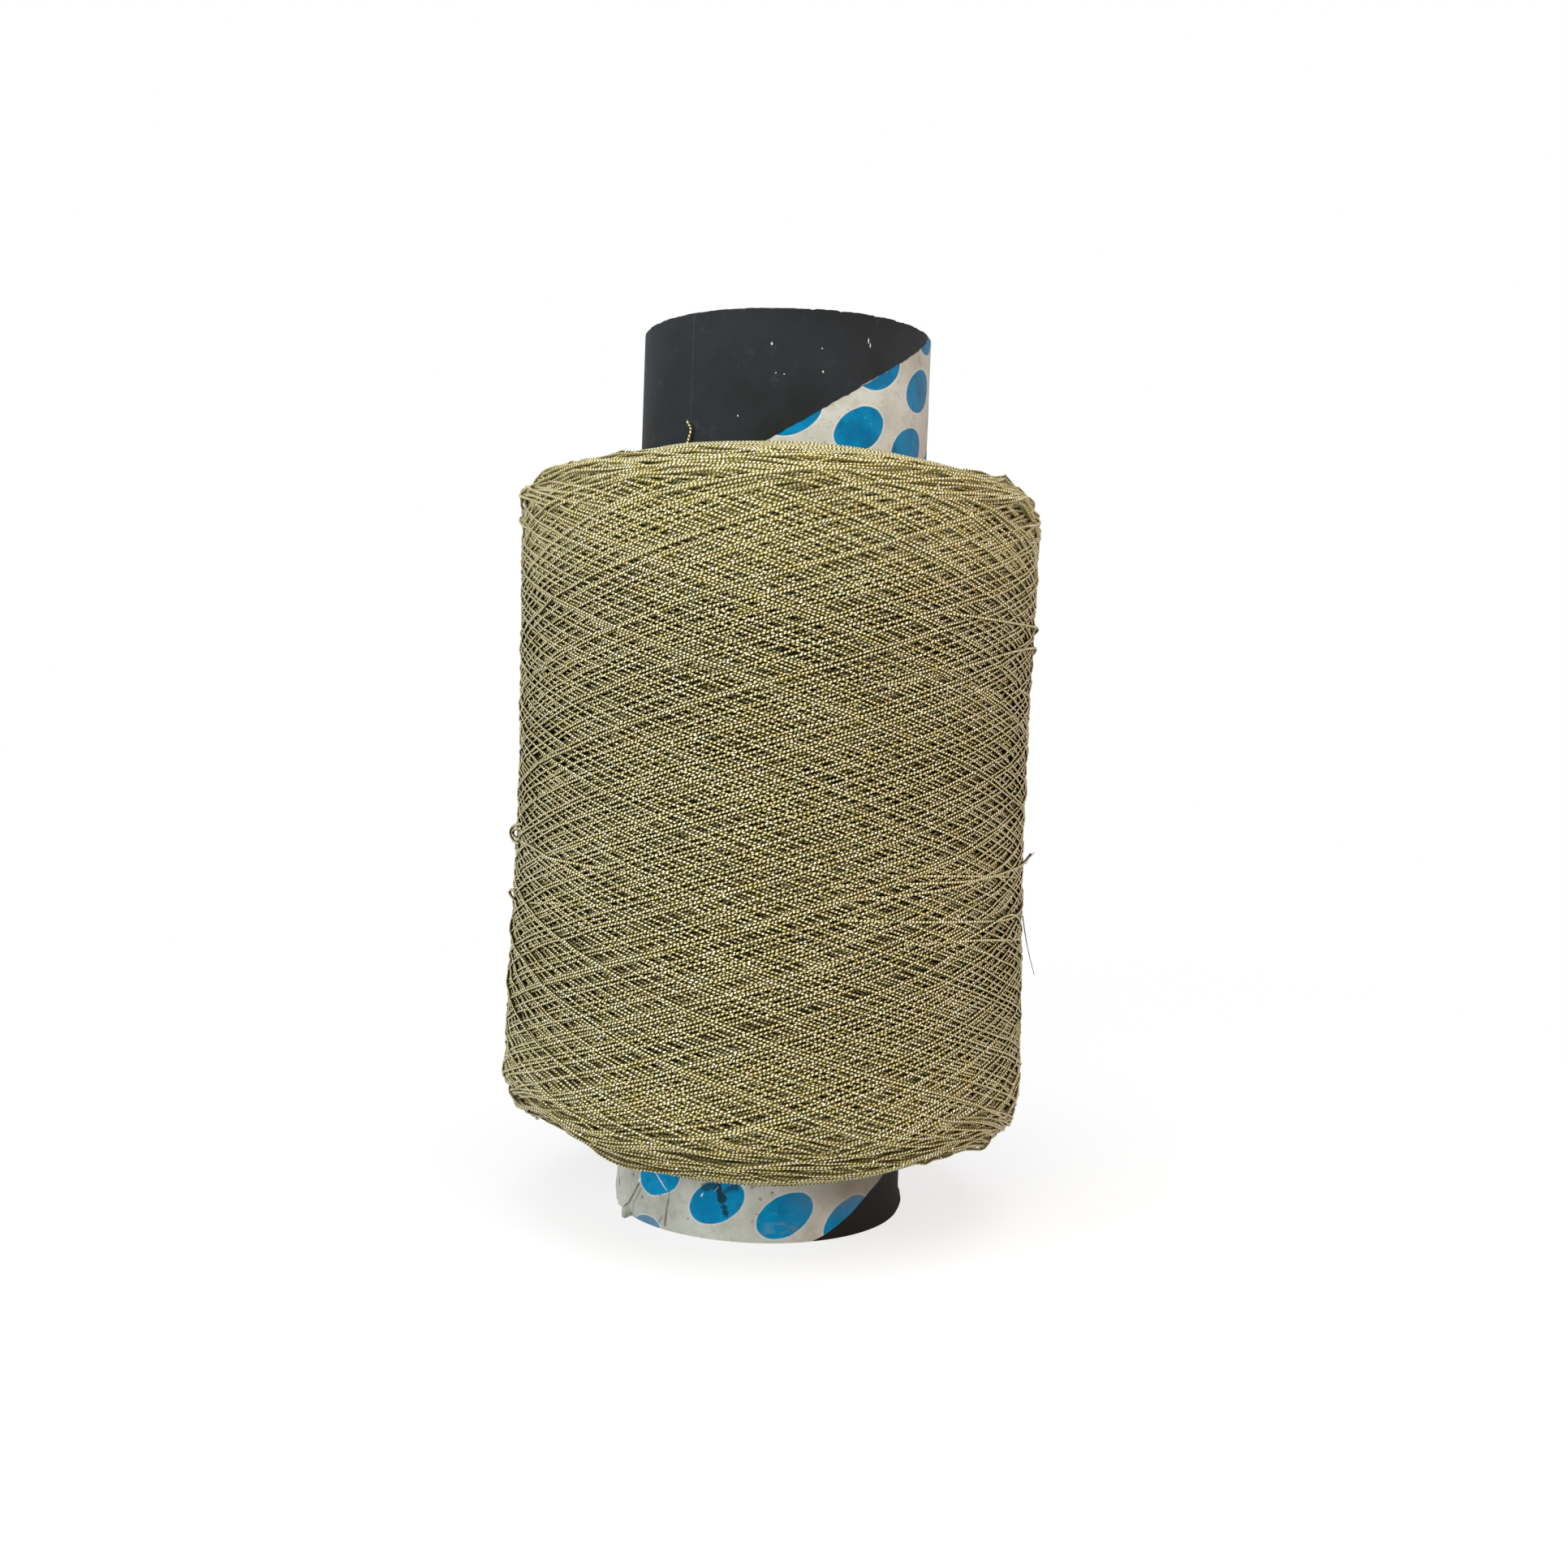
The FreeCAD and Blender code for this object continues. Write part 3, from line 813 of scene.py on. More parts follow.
class StrandMesh:
    """Closed tubes along strands, joined into one piece."""

    def __init__(self, name: str, radius: float, sides: int = 5) -> None:
        """Start an empty piece.

        Args:
            name: The piece's name.
            radius: The thread's radius.
            sides: The tube's sides.
        """
        self.name, self.radius, self.sides = name, radius, sides
        self.parts: list[tuple[Array, ...]] = []
        self.vertex_count = self.corner_count = 0

    def add(self, strand: Strand, taper: float = 0.0) -> None:
        """Add one strand.

        Args:
            strand: The strand.
            taper: How much thinner it is at its far end, as a share.
        """
        points, sides = strand.points, self.sides
        count = len(points)
        along = np.gradient(points, axis=0)
        along /= np.linalg.norm(along, axis=1)[:, None]
        out = strand.outward - (strand.outward * along).sum(1)[:, None] * along
        out /= np.linalg.norm(out, axis=1)[:, None]
        across = np.cross(along, out)
        side = np.arange(sides)
        turn = side * FULL_TURN / sides
        thick = self.radius * (1 - taper * np.linspace(0, 1, count))[:, None, None]
        ring = (
            points[:, None, :]
            + thick * np.cos(turn)[None, :, None] * out[:, None, :]
            + thick * np.sin(turn)[None, :, None] * across[:, None, :]
        )
        first = np.arange(count - 1)[:, None] * sides
        here, beside = first + side, first + (side + 1) % sides
        quads = np.stack([here, beside, beside + sides, here + sides], -1)
        corners = np.concatenate([quads.ravel(), side[::-1], (count - 1) * sides + side])
        sizes = np.concatenate([np.full((count - 1) * sides, 4), [sides, sides]])
        length = (strand.start + travelled(points)) / 100
        ends = np.stack([length[:-1], length[:-1], length[1:], length[1:]], -1)
        left = side / sides
        flanks = np.stack([left, left + 1 / sides, left + 1 / sides, left], -1)
        uv = pairs(ends[:, None, :], flanks)
        caps = pairs(np.repeat(length[[0, -1]], sides), 0.5)
        self.parts.append(
            (
                ring.reshape(-1, 3),
                corners + self.vertex_count,
                np.cumsum(sizes) - sizes + self.corner_count,
                np.concatenate([uv, caps]),
                np.repeat(np.zeros(count) + strand.sunk, sides),
            )
        )
        self.vertex_count += count * sides
        self.corner_count += len(corners)

    def build(self) -> Piece:
        """Make the piece.

        Returns:
            The new object.
        """
        points, corners, starts, uv, depths = map(np.concatenate, zip(*self.parts))
        piece = new_piece(self.name, points, corners, starts, "strand", uv)
        sunk = piece.data.attributes.new("sunk", "FLOAT", "POINT")
        sunk.data.foreach_set("value", depths.astype(np.float32))
        return piece


# ---- The paper tube --------------------------------------------------------


@dataclass
class PaperTube:
    """The spiral-wound tube: board plies from the frame and two wrap strips.

    The slips say how far the strips' lower edges stray, by angle: the first
    row has the angles and the second the shifts.
    """

    ply: float = 0.25
    length: float = 180.0
    lead: float = 107.6
    wear: float = 0.06
    end_gap: float = 0.03
    dotted_start: float = -7.3
    dotted_width: float = 57.4
    seam: float = 0.3
    lap: float = 1.2
    lap_lift: float = 0.06
    lap_fade: float = 4.8
    flap_angle: float = math.radians(92)
    flap_spread: float = math.radians(12)
    flap_height: float = 1.4
    flap_depth: float = 1.6
    flap_reach: float = 0.8
    rim_rise: float = 0.9
    rim_depth: float = 3.0
    dent_angle: float = math.radians(-88)
    dent_spread: float = 0.3
    dent_top: float = 13.0
    dent_fade: float = 9.0
    shred_angle: float = math.radians(-64)
    shred_spread: float = math.radians(4.5)
    shred_height: float = 2.2
    shred_reach: float = 2.8
    shred_turn: float = math.radians(7.5)
    black_slips: tuple = (
        (6.0, 6.18, 6.535, 6.818, 7.112, 7.535, 7.8),
        (-1.2, -1.13, -0.66, -0.15, 0.27, 0.0, -0.6),
    )
    dotted_slips: tuple = (
        (0.3, 0.376, 0.48, 0.6, 0.68, 0.755, 0.86, 0.94, 1.1),
        (1.0, 0.95, 0.32, 0.22, 0.18, 0.48, 0.67, 0.35, 0.0),
    )
    column_step: float = 0.7
    row_step: float = 1.2
    least_width: float = 0.4
    smooth_below: float = math.radians(50)

    def strip(
        self, name: str, start: float, width: float, slips: tuple, torn: float = 0.0
    ) -> Piece:
        """Roll one flat strip of paper on the tube, and give it its thickness.

        Args:
            name: The piece's name.
            start: The height of its lower edge on the tube's front line.
            width: Its width along the tube.
            slips: How far its lower edge strays, by angle.
            torn: How frayed this edge is, as a share.

        Returns:
            The strip.
        """
        low, high = self.wear, self.length - self.wear
        first = (low + self.least_width - start - width) / self.lead * FULL_TURN
        last = (high - self.least_width - start) / self.lead * FULL_TURN
        columns = int((last - first) * TUBE_RADIUS / self.column_step)
        rows = int(width / self.row_step)
        deselect()
        bpy.ops.mesh.primitive_grid_add(x_subdivisions=columns, y_subdivisions=rows, size=2.0)
        sheet = bpy.context.object
        sheet.name = sheet.data.name = name
        flat = np.zeros(len(sheet.data.vertices) * 3)
        sheet.data.vertices.foreach_get("co", flat)
        flat = flat.reshape(-1, 3)
        angle = first + (last - first) * (flat[:, 0] + 1) / 2
        across = (flat[:, 1] + 1) / 2
        lower = start + self.lead * angle / FULL_TURN
        edge = np.interp(angle, *slips) + torn * self.ragged(angle)
        bottom = np.clip(lower + edge, low, high - self.least_width / 2)
        top = np.clip(lower + width, low, high)
        height = bottom + (top - bottom) * across
        self.lay_out(sheet, angle, height)
        rolled = polar(*self.worn(angle, height, height - lower - edge))
        sheet.data.vertices.foreach_set("co", (rolled * MM).ravel())
        sheet.data.update()
        paper = sheet.modifiers.new("paper", "SOLIDIFY")
        paper.thickness = self.ply * MM
        paper.offset = 1.0
        bpy.ops.object.modifier_apply(modifier=paper.name)
        bpy.ops.object.shade_smooth_by_angle(angle=self.smooth_below)
        return sheet

    def ragged(self, angle: Array) -> Array:
        """How far a torn edge strays from its line.

        Args:
            angle: The points' angles, counted over all turns.

        Returns:
            The shifts along the tube.
        """
        swept = angle * TUBE_RADIUS
        waves = ((0.05, 0.55, 0.7), (0.06, 1.37, 2.1), (0.07, 2.9, 0.0))
        tears = 0.06 * np.sin(swept * 4.1 + 1.0) * np.sin(swept * 0.61)
        return sum(size * np.sin(swept * rate + shift) for size, rate, shift in waves) + tears

    def lay_out(self, sheet: Piece, angle: Array, height: Array) -> None:
        """Give a strip its UV map, in hundreds of millimetres along and across it.

        Args:
            sheet: The strip.
            angle: Each point's angle, counted over all turns.
            height: Each point's height on the tube.
        """
        slope = math.atan(self.lead / (FULL_TURN * TUBE_RADIUS))
        swept = angle * TUBE_RADIUS
        along = swept * math.cos(slope) + height * math.sin(slope)
        across = height - swept * math.tan(slope)
        layer = sheet.data.uv_layers.active or sheet.data.uv_layers.new(name="strip")
        layer.name = "strip"
        corner = np.zeros(len(sheet.data.loops), np.int32)
        sheet.data.loops.foreach_get("vertex_index", corner)
        uv = pairs(along[corner], across[corner]) / 100
        layer.uv.foreach_set("vector", uv.astype(np.float32).ravel())

    def worn(self, angle: Array, height: Array, inside: Array) -> tuple[Array, Array, Array]:
        """Rub the rims, fray the edges and crumple the foot.

        Args:
            angle: The points' angles.
            height: The points' heights.
            inside: How far the points lie above the strip's lower edge.

        Returns:
            The radii, angles and heights after wear.
        """
        around = within_turn(angle)
        waves = ((27, 1.3, 0.4), (68, 0.4, 0.3), (140, 2.0, 0.3))
        ripple = sum(np.sin(around * rate + shift) * size for rate, shift, size in waves)
        near_top = np.clip((height - self.length + self.rim_depth) / self.rim_depth, 0, 1)
        proud = np.clip(np.sin(around), 0, 1) * self.rim_rise
        height = height + near_top**2 * (0.25 * np.clip(ripple, -1, 0.1) + proud)
        flap = bell(around - self.flap_angle, self.flap_spread)
        lift = bell(height - self.flap_height, self.flap_depth)
        flare = flap * lift * self.flap_reach * (1 + 0.2 * np.sin(around * 31.0))
        dent = bell(around - self.dent_angle, self.dent_spread)
        folds = 0.25 * np.abs(np.sin(around * 23.0 + height * 0.22)) ** 3
        folds = folds + 0.25 * np.abs(np.sin(around * 14.0 - height * 0.31 + 1.0)) ** 5
        crumple = dent * np.clip((self.dent_top - height) / self.dent_fade, 0, 1) * folds
        shred = np.clip(1 - np.abs(around - self.shred_angle) / self.shred_spread, 0, 1)
        shred = shred * np.clip((self.shred_height - height) / self.shred_height, 0, 1)
        rough = np.maximum(0.05 * ripple * near_top, 0)
        over = self.lap_lift * np.clip(2 - inside / self.lap_fade, 0, 1)
        radius = TUBE_RADIUS - self.ply + flare + crumple + shred * self.shred_reach
        height = np.clip(height, self.end_gap, self.length - self.end_gap + proud)
        return radius + rough + over, angle + shred * self.shred_turn, height

    def build(self) -> None:
        """Make the wraps and dress the plies."""
        black_start = self.dotted_start + self.dotted_width + self.seam
        black_width = self.lead - self.dotted_width - self.seam + self.lap
        black = self.strip("black_wrap", black_start, black_width, self.black_slips, 1.0)
        hand_over(black, BlackPaper().make(), Slot.BLACK, "black_ply")
        width = self.dotted_width + self.lap
        dotted = self.strip("dotted_wrap", self.dotted_start, width, self.dotted_slips)
        hand_over(dotted, DottedPaper().make(), Slot.DOTTED, "dotted_ply")
        board = Board("board_finish").make()
        liner = Board("liner_finish", srgb(128, 98, 62), srgb(92, 66, 38), 500.0).make()
        for node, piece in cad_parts.items():
            if node.startswith("board_ply"):
                dress(piece, board)
            elif node == "inner_liner":
                dress(piece, liner)


# ---- The wound thread ------------------------------------------------------


@dataclass
class Section:
    """The half section of the wound package, rounded at its shoulders.

    A corner is a radius, a height, and the radius of its rounding.
    """

    corners: tuple = (
        (29.7, 11.5, 0.0),
        (54.4, 20.0, 11.2),
        (52.7, 86.0, 400.0),
        (53.8, 148.6, 6.4),
        (29.7, 154.9, 0.0),
    )
    step: float = 0.2
    arc_points: int = 40
    sharpest: float = 0.2

    def outline(self) -> Array:
        """The section's points of radius and height, with arcs at its corners.

        Returns:
            One row for each point.
        """
        spots = [np.array(corner[:2]) for corner in self.corners]
        points = [spots[0]]
        for before, corner, after, rounded in zip(spots, spots[1:], spots[2:], self.corners[1:]):
            back, ahead = before - corner, after - corner
            back /= np.linalg.norm(back)
            ahead /= np.linalg.norm(ahead)
            half = math.acos(float(np.clip(back @ ahead, -1, 1))) / 2
            reach = rounded[2] / math.tan(half)
            middle = back + ahead
            centre = corner + middle / np.linalg.norm(middle) * rounded[2] / math.sin(half)
            start, end = corner + back * reach - centre, corner + ahead * reach - centre
            sweep = math.pi - 2 * half
            for share in np.linspace(0, 1, self.arc_points):
                spot = start * math.sin((1 - share) * sweep) + end * math.sin(share * sweep)
                points.append(centre + spot / math.sin(sweep))
        return np.array([*points, spots[-1]])

    def __post_init__(self) -> None:
        """Sample the section at even steps of its length."""
        outline = self.outline()
        distance = travelled(outline)
        self.total = float(distance[-1])
        self.rows = int(self.total / self.step)
        self.along = np.arange(self.rows) * self.step
        self.radius = np.interp(self.along, distance, outline[:, 0])
        self.height = np.interp(self.along, distance, outline[:, 1])
        slope_r = np.gradient(self.radius, self.step)
        slope_z = np.gradient(self.height, self.step)
        scale = np.hypot(slope_r, slope_z)
        self.out_r = slope_z / scale
        self.out_z = -slope_r / scale
        turning = np.arctan2(slope_z, slope_r)
        self.bend = np.clip(np.gradient(turning, self.step), 0, self.sharpest)

    def read(self, values: Array, along: Array | float) -> Array:
        """Read one of the sampled values at places along the section."""
        return np.interp(along, self.along, values)


@dataclass
class Path:
    """A stretch of winding before it is laid: angle and place along the section."""

    angle: Array
    along: Array


class HeightField:
    """How high the winding stands over its core, by angle and place."""

    def __init__(self, section: Section, columns: int, thread_radius: float) -> None:
        """Start from a bare core.

        Args:
            section: The half section that the thread lies on.
            columns: Cells in a full turn.
            thread_radius: The thread's radius.
        """
        self.section, self.columns = section, columns
        self.top = np.zeros((columns, section.rows), np.float32)
        self.profile = [
            (side, math.sqrt(thread_radius**2 - (side * section.step) ** 2))
            for side in (-1, 0, 1)
        ]

    def cells(self, path: Path) -> tuple[Array, Array]:
        """The field's cells under a path."""
        column = np.round(path.angle / FULL_TURN * self.columns).astype(int) % self.columns
        return column, np.round(path.along / self.section.step).astype(int)

    def contact(self, path: Path, press: float) -> Array:
        """The lowest height at which the thread's middle can lie.

        Args:
            path: The points of the thread.
            press: The share of its radius that a strand keeps on the one below.

        Returns:
            The heights of its middle.
        """
        column, row = self.cells(path)
        height = np.zeros(len(row))
        for side, rise in self.profile:
            near = np.clip(row + side, 0, self.section.rows - 1)
            height = np.maximum(height, self.top[column, near] + rise * press)
        return height

    def stamp(self, path: Path, middle: Array) -> None:
        """Raise the field under a laid thread.

        Args:
            path: The points of the thread.
            middle: The heights of its middle there.
        """
        column, row = self.cells(path)
        for side, rise in self.profile:
            near = row + side
            on = (near >= 0) & (near < self.section.rows)
            high = (middle + rise)[on].astype(np.float32)
            np.maximum.at(self.top, (column[on], near[on]), high)


def taut(steps: Array, contact: Array, bend: Array) -> Array:
    """Pull a thread tight over the heights that it has to clear.

    A free stretch is straight, so it sinks between its supports by the
    curvature of what lies under it. The heights less that sinking form the
    least concave line over the contacts.

    Args:
        steps: Distance along the thread.
        contact: Least heights of its middle.
        bend: Curvature of the surface along the thread.

    Returns:
        The heights of its middle.
    """
    gap = np.gradient(steps)
    sinking = np.cumsum(np.cumsum(bend * gap) * gap)
    level = contact - sinking
    hull = [0]
    for number in range(1, len(steps)):
        while len(hull) > 1:
            first, last = hull[-2], hull[-1]
            rise = (level[last] - level[first]) * (steps[number] - steps[first])
            if rise > (level[number] - level[first]) * (steps[last] - steps[first]):
                break
            hull.pop()
        hull.append(number)
    return np.interp(steps, steps[hull], level[hull]) + sinking


@dataclass
class ThreadPackage:
    """The wound thread: its inside, its end faces and its cross-wound strands.

    A squash is an angle in degrees, its spread, and how far the lower
    shoulder is pushed up there.
    """

    section: Section = field(default_factory=Section)
    diameter: float = 0.62
    columns: int = 1500
    sample: float = 0.4
    segment: float = 2.6
    double_traverses: int = 360
    turns: float = 2.0 + 26 / 29 + 0.0092 / 29
    turns_scatter: float = 0.0009
    angle: float = math.radians(17.6)
    first_angle: float = 0.3
    reversal: float = 75.0
    shift_reach: float = 1.2
    held_points: int = 4
    bottom_turn: float = 23.0
    top_turn_inset: float = 22.5
    turn_spread: float = 4.0
    turn_choices: int = 8
    stretches: int = 3
    overlap: int = 8
    face_margin: float = 0.35
    face_past_turn: float = 2.0
    least_points: int = 8
    face_edge: float = 0.3
    face_height: float = 0.42
    face_droop: float = 0.75
    face_scatter: tuple = (0.12, 0.35, 0.09)
    face_wander: tuple = (0.05, 25)
    face_spans: tuple = (55, 120)
    face_steps: tuple = (0.55, 0.8)
    shoulder_from: float = 15.5
    shoulder_to: float = 25.0
    shoulder_further: float = 1.0
    shoulder_pitch: float = 0.5
    shoulder_spans: tuple = (0.5, 0.97)
    shoulder_steps: tuple = (0.5, 0.75)
    shoulder_blend: float = 4.0
    shoulder_sink: float = 0.3
    shoulder_droop: float = 0.9
    shoulder_scatter: float = 0.2
    shoulder_wander: tuple = (0.08, 60)
    wander_reach: float = 0.07
    wander_every: int = 150
    slide: float = 0.28
    slide_steps: int = 7
    slide_reach: int = 16
    slide_cost: float = 0.05
    slide_fade: int = 20
    row_pitch: float = 0.42
    press: float = 0.38
    give: float = 0.5
    give_reach: int = 4
    squashes: tuple = ((-57.0, 17.0, 3.6), (50.0, 18.0, 1.7), (84.0, 19.0, -1.8))
    squash_place: float = 22.0
    squash_reach: float = 9.0
    level_share: float = 88
    level_reach: int = 11
    cover_reach: int = 3
    core_radius: float = 29.75
    core_wall: float = 0.4
    core_depth: float = 0.05
    core_pace: int = 8
    core_edge: int = 2
    core_columns: int = 240
    core_map_radius: float = 53.0
    seed: int = 11
    largest_piece: int = 185_000

    def __post_init__(self) -> None:
        """Set up the field and the seeded chance."""
        self.chance = np.random.default_rng(self.seed)
        self.field = HeightField(self.section, self.columns, self.diameter / 2)
        self.laid: list[tuple[Path, Array]] = []
        self.face_arcs: list[tuple[Path, Array]] = []

    def traverse(self, low_shift: float, high_shift: float) -> Path:
        """One pass from the lower to the upper turnaround.

        Args:
            low_shift: How much further up the lower turnaround lies than usual.
            high_shift: The same of the upper one.

        Returns:
            The pass, with its angles counted from the lower turnaround.
        """
        low = self.bottom_turn
        high = self.section.total - self.top_turn_inset
        length = (high - low) / math.sin(self.angle) + self.reversal
        distance = np.linspace(0, length, int(length / self.sample))
        share = np.clip(np.minimum(distance, length - distance) / self.reversal, 0, 1)
        lean = self.angle * share**2 * (3 - 2 * share)
        rise = np.cumsum(np.sin(lean))
        along = low + (high - low) * (rise - rise[0]) / (rise[-1] - rise[0])
        for shift, off in ((low_shift, distance), (high_shift, length - distance)):
            near = np.clip(1 - off / (self.reversal * self.shift_reach), 0, 1)
            along = along + shift * near**2 * (3 - 2 * near)
        around = np.cumsum(np.cos(lean) / self.section.read(self.section.radius, along))
        return Path((around - around[0]) / (around[-1] - around[0]), along)

    def wander(self, count: int, reach: float, every: int) -> Array:
        """Smooth chance deviations along a thread.

        Args:
            count: How many points there are.
            reach: The size of the deviations.
            every: Points between two independent values.

        Returns:
            The deviations.
        """
        knots = self.chance.normal(0, reach, count // every + 3)
        return np.interp(np.arange(count) / every, np.arange(len(knots)), knots)

    def nestle(self, path: Path) -> Path:
        """Slide a pass sideways into the valleys beside it, as a taut thread does.

        Args:
            path: The pass.

        Returns:
            The pass with its places along the section moved.
        """
        window = np.hanning(2 * self.slide_reach + 3)[1:-1]
        moves = np.linspace(-self.slide, self.slide, self.slide_steps)
        levels = [
            evened(self.field.contact(Path(path.angle, path.along + move), self.press), window)
            + self.slide_cost * abs(move)
            for move in moves
        ]
        chosen = evened(moves[np.argmin(levels, axis=0)], window)
        number = np.arange(len(chosen))
        from_end = np.minimum(number, number[::-1])
        return Path(path.angle, path.along + chosen * np.clip(from_end / self.slide_fade, 0, 1))

    def lay(self, path: Path, hold: float | None) -> float:
        """Lay a stretch of thread tight on what is there.

        Args:
            path: The stretch.
            hold: The height at which it starts, if it goes on from another.

        Returns:
            The height at its end.
        """
        section = self.section
        radius = section.read(section.radius, path.along)
        around = np.gradient(path.angle) * radius
        up = np.gradient(path.along)
        step = np.hypot(around, up)
        bend = (around / step) ** 2 * section.read(section.out_r, path.along) / radius
        bend += (up / step) ** 2 * section.read(section.bend, path.along)
        contact = self.field.contact(path, self.press)
        if hold is not None:
            contact[: self.held_points] = hold
        middle = taut(np.cumsum(step), contact, bend)
        bed = evened(contact, np.ones(2 * self.give_reach + 1))
        middle -= self.give * np.maximum(middle - bed, 0)
        self.field.stamp(path, middle)
        self.laid.append((path, middle))
        return float(middle[-1])

    def lay_faces(self) -> None:
        """Lay the arcs of the inner layers' turnarounds on the two end faces."""
        section, chance = self.section, self.chance
        total, margin = section.total, self.face_margin
        bend, swell, lift = self.face_scatter
        past = self.face_past_turn
        for low, high in (
            (margin, self.bottom_turn + past),
            (total - self.top_turn_inset - past, total - margin),
        ):
            for row in np.arange(low, high, self.row_pitch):
                angle = chance.uniform(0, FULL_TURN)
                end = angle + FULL_TURN
                shown = min(row, total - row) < self.shoulder_from + self.shoulder_blend
                while angle < end:
                    span = math.radians(chance.uniform(*self.face_spans))
                    radius = float(section.read(section.radius, row))
                    count = max(self.least_points, int(span * radius / self.sample))
                    share = np.linspace(-1, 1, count)
                    place = row + chance.normal(0, bend) + share**2 * chance.normal(0, swell)
                    place = place + self.wander(count, *self.face_wander)
                    place = np.clip(place, self.face_edge, total - self.face_edge)
                    path = Path(angle + span * (share + 1) / 2, place)
                    middle = self.face_height + chance.normal(0, lift) - self.face_droop * share**4
                    self.field.stamp(path, middle)
                    if shown:
                        sparse = Path(path.angle[::2], path.along[::2])
                        self.face_arcs.append((sparse, middle[::2]))
                    angle += span * chance.uniform(*self.face_steps)

    def lay_shoulders(self) -> None:
        """Lay the outermost turnarounds, which cover both shoulders row by row."""
        section, chance = self.section, self.chance
        upper = section.total - self.shoulder_to - self.shoulder_further
        for low, high, inward in (
            (self.shoulder_from, self.shoulder_to, 1),
            (upper, section.total - self.shoulder_from, -1),
        ):
            for row in chance.permutation(np.arange(low, high, self.shoulder_pitch)):
                angle = chance.uniform(0, FULL_TURN)
                end = angle + FULL_TURN
                radius = float(section.read(section.radius, row))
                inner = (row if inward > 0 else section.total - row) - self.shoulder_from
                sink = self.shoulder_sink * max(0.0, 1 - inner / self.shoulder_blend)
                while angle < end:
                    half = self.reversal * chance.uniform(*self.shoulder_spans)
                    span = 2 * half / radius
                    share = np.linspace(-1, 1, int(2 * half / self.sample))
                    far = np.abs(share) * half / self.reversal
                    rise = self.reversal * math.sin(self.angle) * (far**3 - far**4 / 2)
                    place = row + inward * rise + chance.normal(0, self.shoulder_scatter)
                    place = place + self.wander(len(share), *self.shoulder_wander)
                    self.lay(self.nestle(Path(angle + span * (share + 1) / 2, place)), None)
                    path, middle = self.laid.pop()
                    middle = middle - self.shoulder_droop * share**10 - sink
                    self.face_arcs.append((path, middle))
                    angle += span * chance.uniform(*self.shoulder_steps)

    def turnaround(self, angle: float, sweep: float, before: float, upward: bool) -> float:
        """Choose the lowest lying, of a few chance places, for a turnaround.

        Args:
            angle: The angle at which the pass before it starts.
            sweep: The angle that the pass covers.
            before: The shift of the turnaround before.
            upward: Whether the pass runs up.

        Returns:
            How much further up it lies than usual.
        """
        shifts = self.chance.uniform(-self.turn_spread, self.turn_spread, self.turn_choices)
        near = int(self.reversal / self.sample)
        heights = []
        for shift in shifts:
            path = self.traverse(*((before, shift) if upward else (shift, before)))
            if upward:
                end = Path(angle + sweep * path.angle[-near:], path.along[-near:])
            else:
                end = Path(angle + sweep * (1 - path.angle[:near]), path.along[:near])
            heights.append(self.field.contact(end, self.press).mean())
        return float(shifts[np.argmin(heights)])

    def wind(self) -> None:
        """Wind the cross-wound layers, pass after pass."""
        angle, hold, low = self.first_angle, None, 0.0
        for _ in range(self.double_traverses):
            sweep = (self.turns + self.chance.normal(0, self.turns_scatter)) * math.pi
            high = self.turnaround(angle, sweep, low, True)
            next_low = self.turnaround(angle + sweep, sweep, high, False)
            upward = self.traverse(low, high)
            downward = self.traverse(next_low, high)
            upward.angle = angle + sweep * upward.angle
            turned = upward.angle[-1] + sweep * (1 - downward.angle[::-1])
            back = Path(turned, downward.along[::-1])
            for half in (upward, back):
                stray = self.wander(len(half.along), self.wander_reach, self.wander_every)
                half.along = half.along + stray
                half = self.nestle(half)
                last = len(half.angle) - 1
                for cut in np.array_split(np.arange(last + 1), self.stretches):
                    until = min(cut[-1] + 1, last) + 1
                    angles, along = half.angle[cut[0] : until], half.along[cut[0] : until]
                    hold = self.lay(Path(angles, along), hold)
            angle, low = float(back.angle[-1]), next_low

    def level(self) -> Array:
        """The winding's own thickness by place along the section, evened out."""
        high = np.percentile(self.field.top, self.level_share, axis=0)
        return evened(high, np.hanning(2 * self.level_reach + 1))

    def cover(self) -> Array:
        """The height of the highest strands round each place.

        Returns:
            The heights, cell by cell.
        """
        top, moves = self.field.top, range(-self.cover_reach, self.cover_reach + 1)
        for axis in (0, 1):
            top = np.maximum.reduce([np.roll(top, move, axis) for move in moves])
        return top

    def raised(self, angle: Array, along: Array) -> Array:
        """How far the lower shoulder is pushed up, where the package stood on its edge.

        Args:
            angle: The points' angles.
            along: Their places along the section.

        Returns:
            The shifts along the tube.
        """
        rise = 0.0
        for middle, spread, height in self.squashes:
            off = within_turn(angle - math.radians(middle))
            rise = rise + height * bell(off, math.radians(spread))
        return rise * bell(along - self.squash_place, self.squash_reach)

    def strand(self, path: Path, middle: Array, start: float) -> Strand:
        """Turn a laid stretch into points in space.

        Args:
            path: The stretch.
            middle: The heights of its middle over the core.
            start: The length of thread before it.

        Returns:
            The strand.
        """
        section = self.section
        pace = max(1, int(round(self.segment / self.sample)))
        keep = np.unique(np.append(np.arange(0, len(middle), pace), len(middle) - 1))
        sunk = self.covered[self.field.cells(path)] - middle - self.diameter / 2
        sunk = np.convolve(np.pad(sunk, pace // 2, mode="edge"), np.ones(pace) / pace, "same")
        sunk = sunk[pace // 2 :][keep]
        angle, along, middle = path.angle[keep], path.along[keep], middle[keep]
        lift = middle - section.read(self.thickness, along)
        out_r = section.read(section.out_r, along)
        out_z = section.read(section.out_z, along)
        radius = section.read(section.radius, along) + lift * out_r
        height = section.read(section.height, along) + lift * out_z
        points = polar(radius, angle, height + self.raised(angle, along))
        return Strand(points, polar(out_r, angle, out_z), start, sunk)

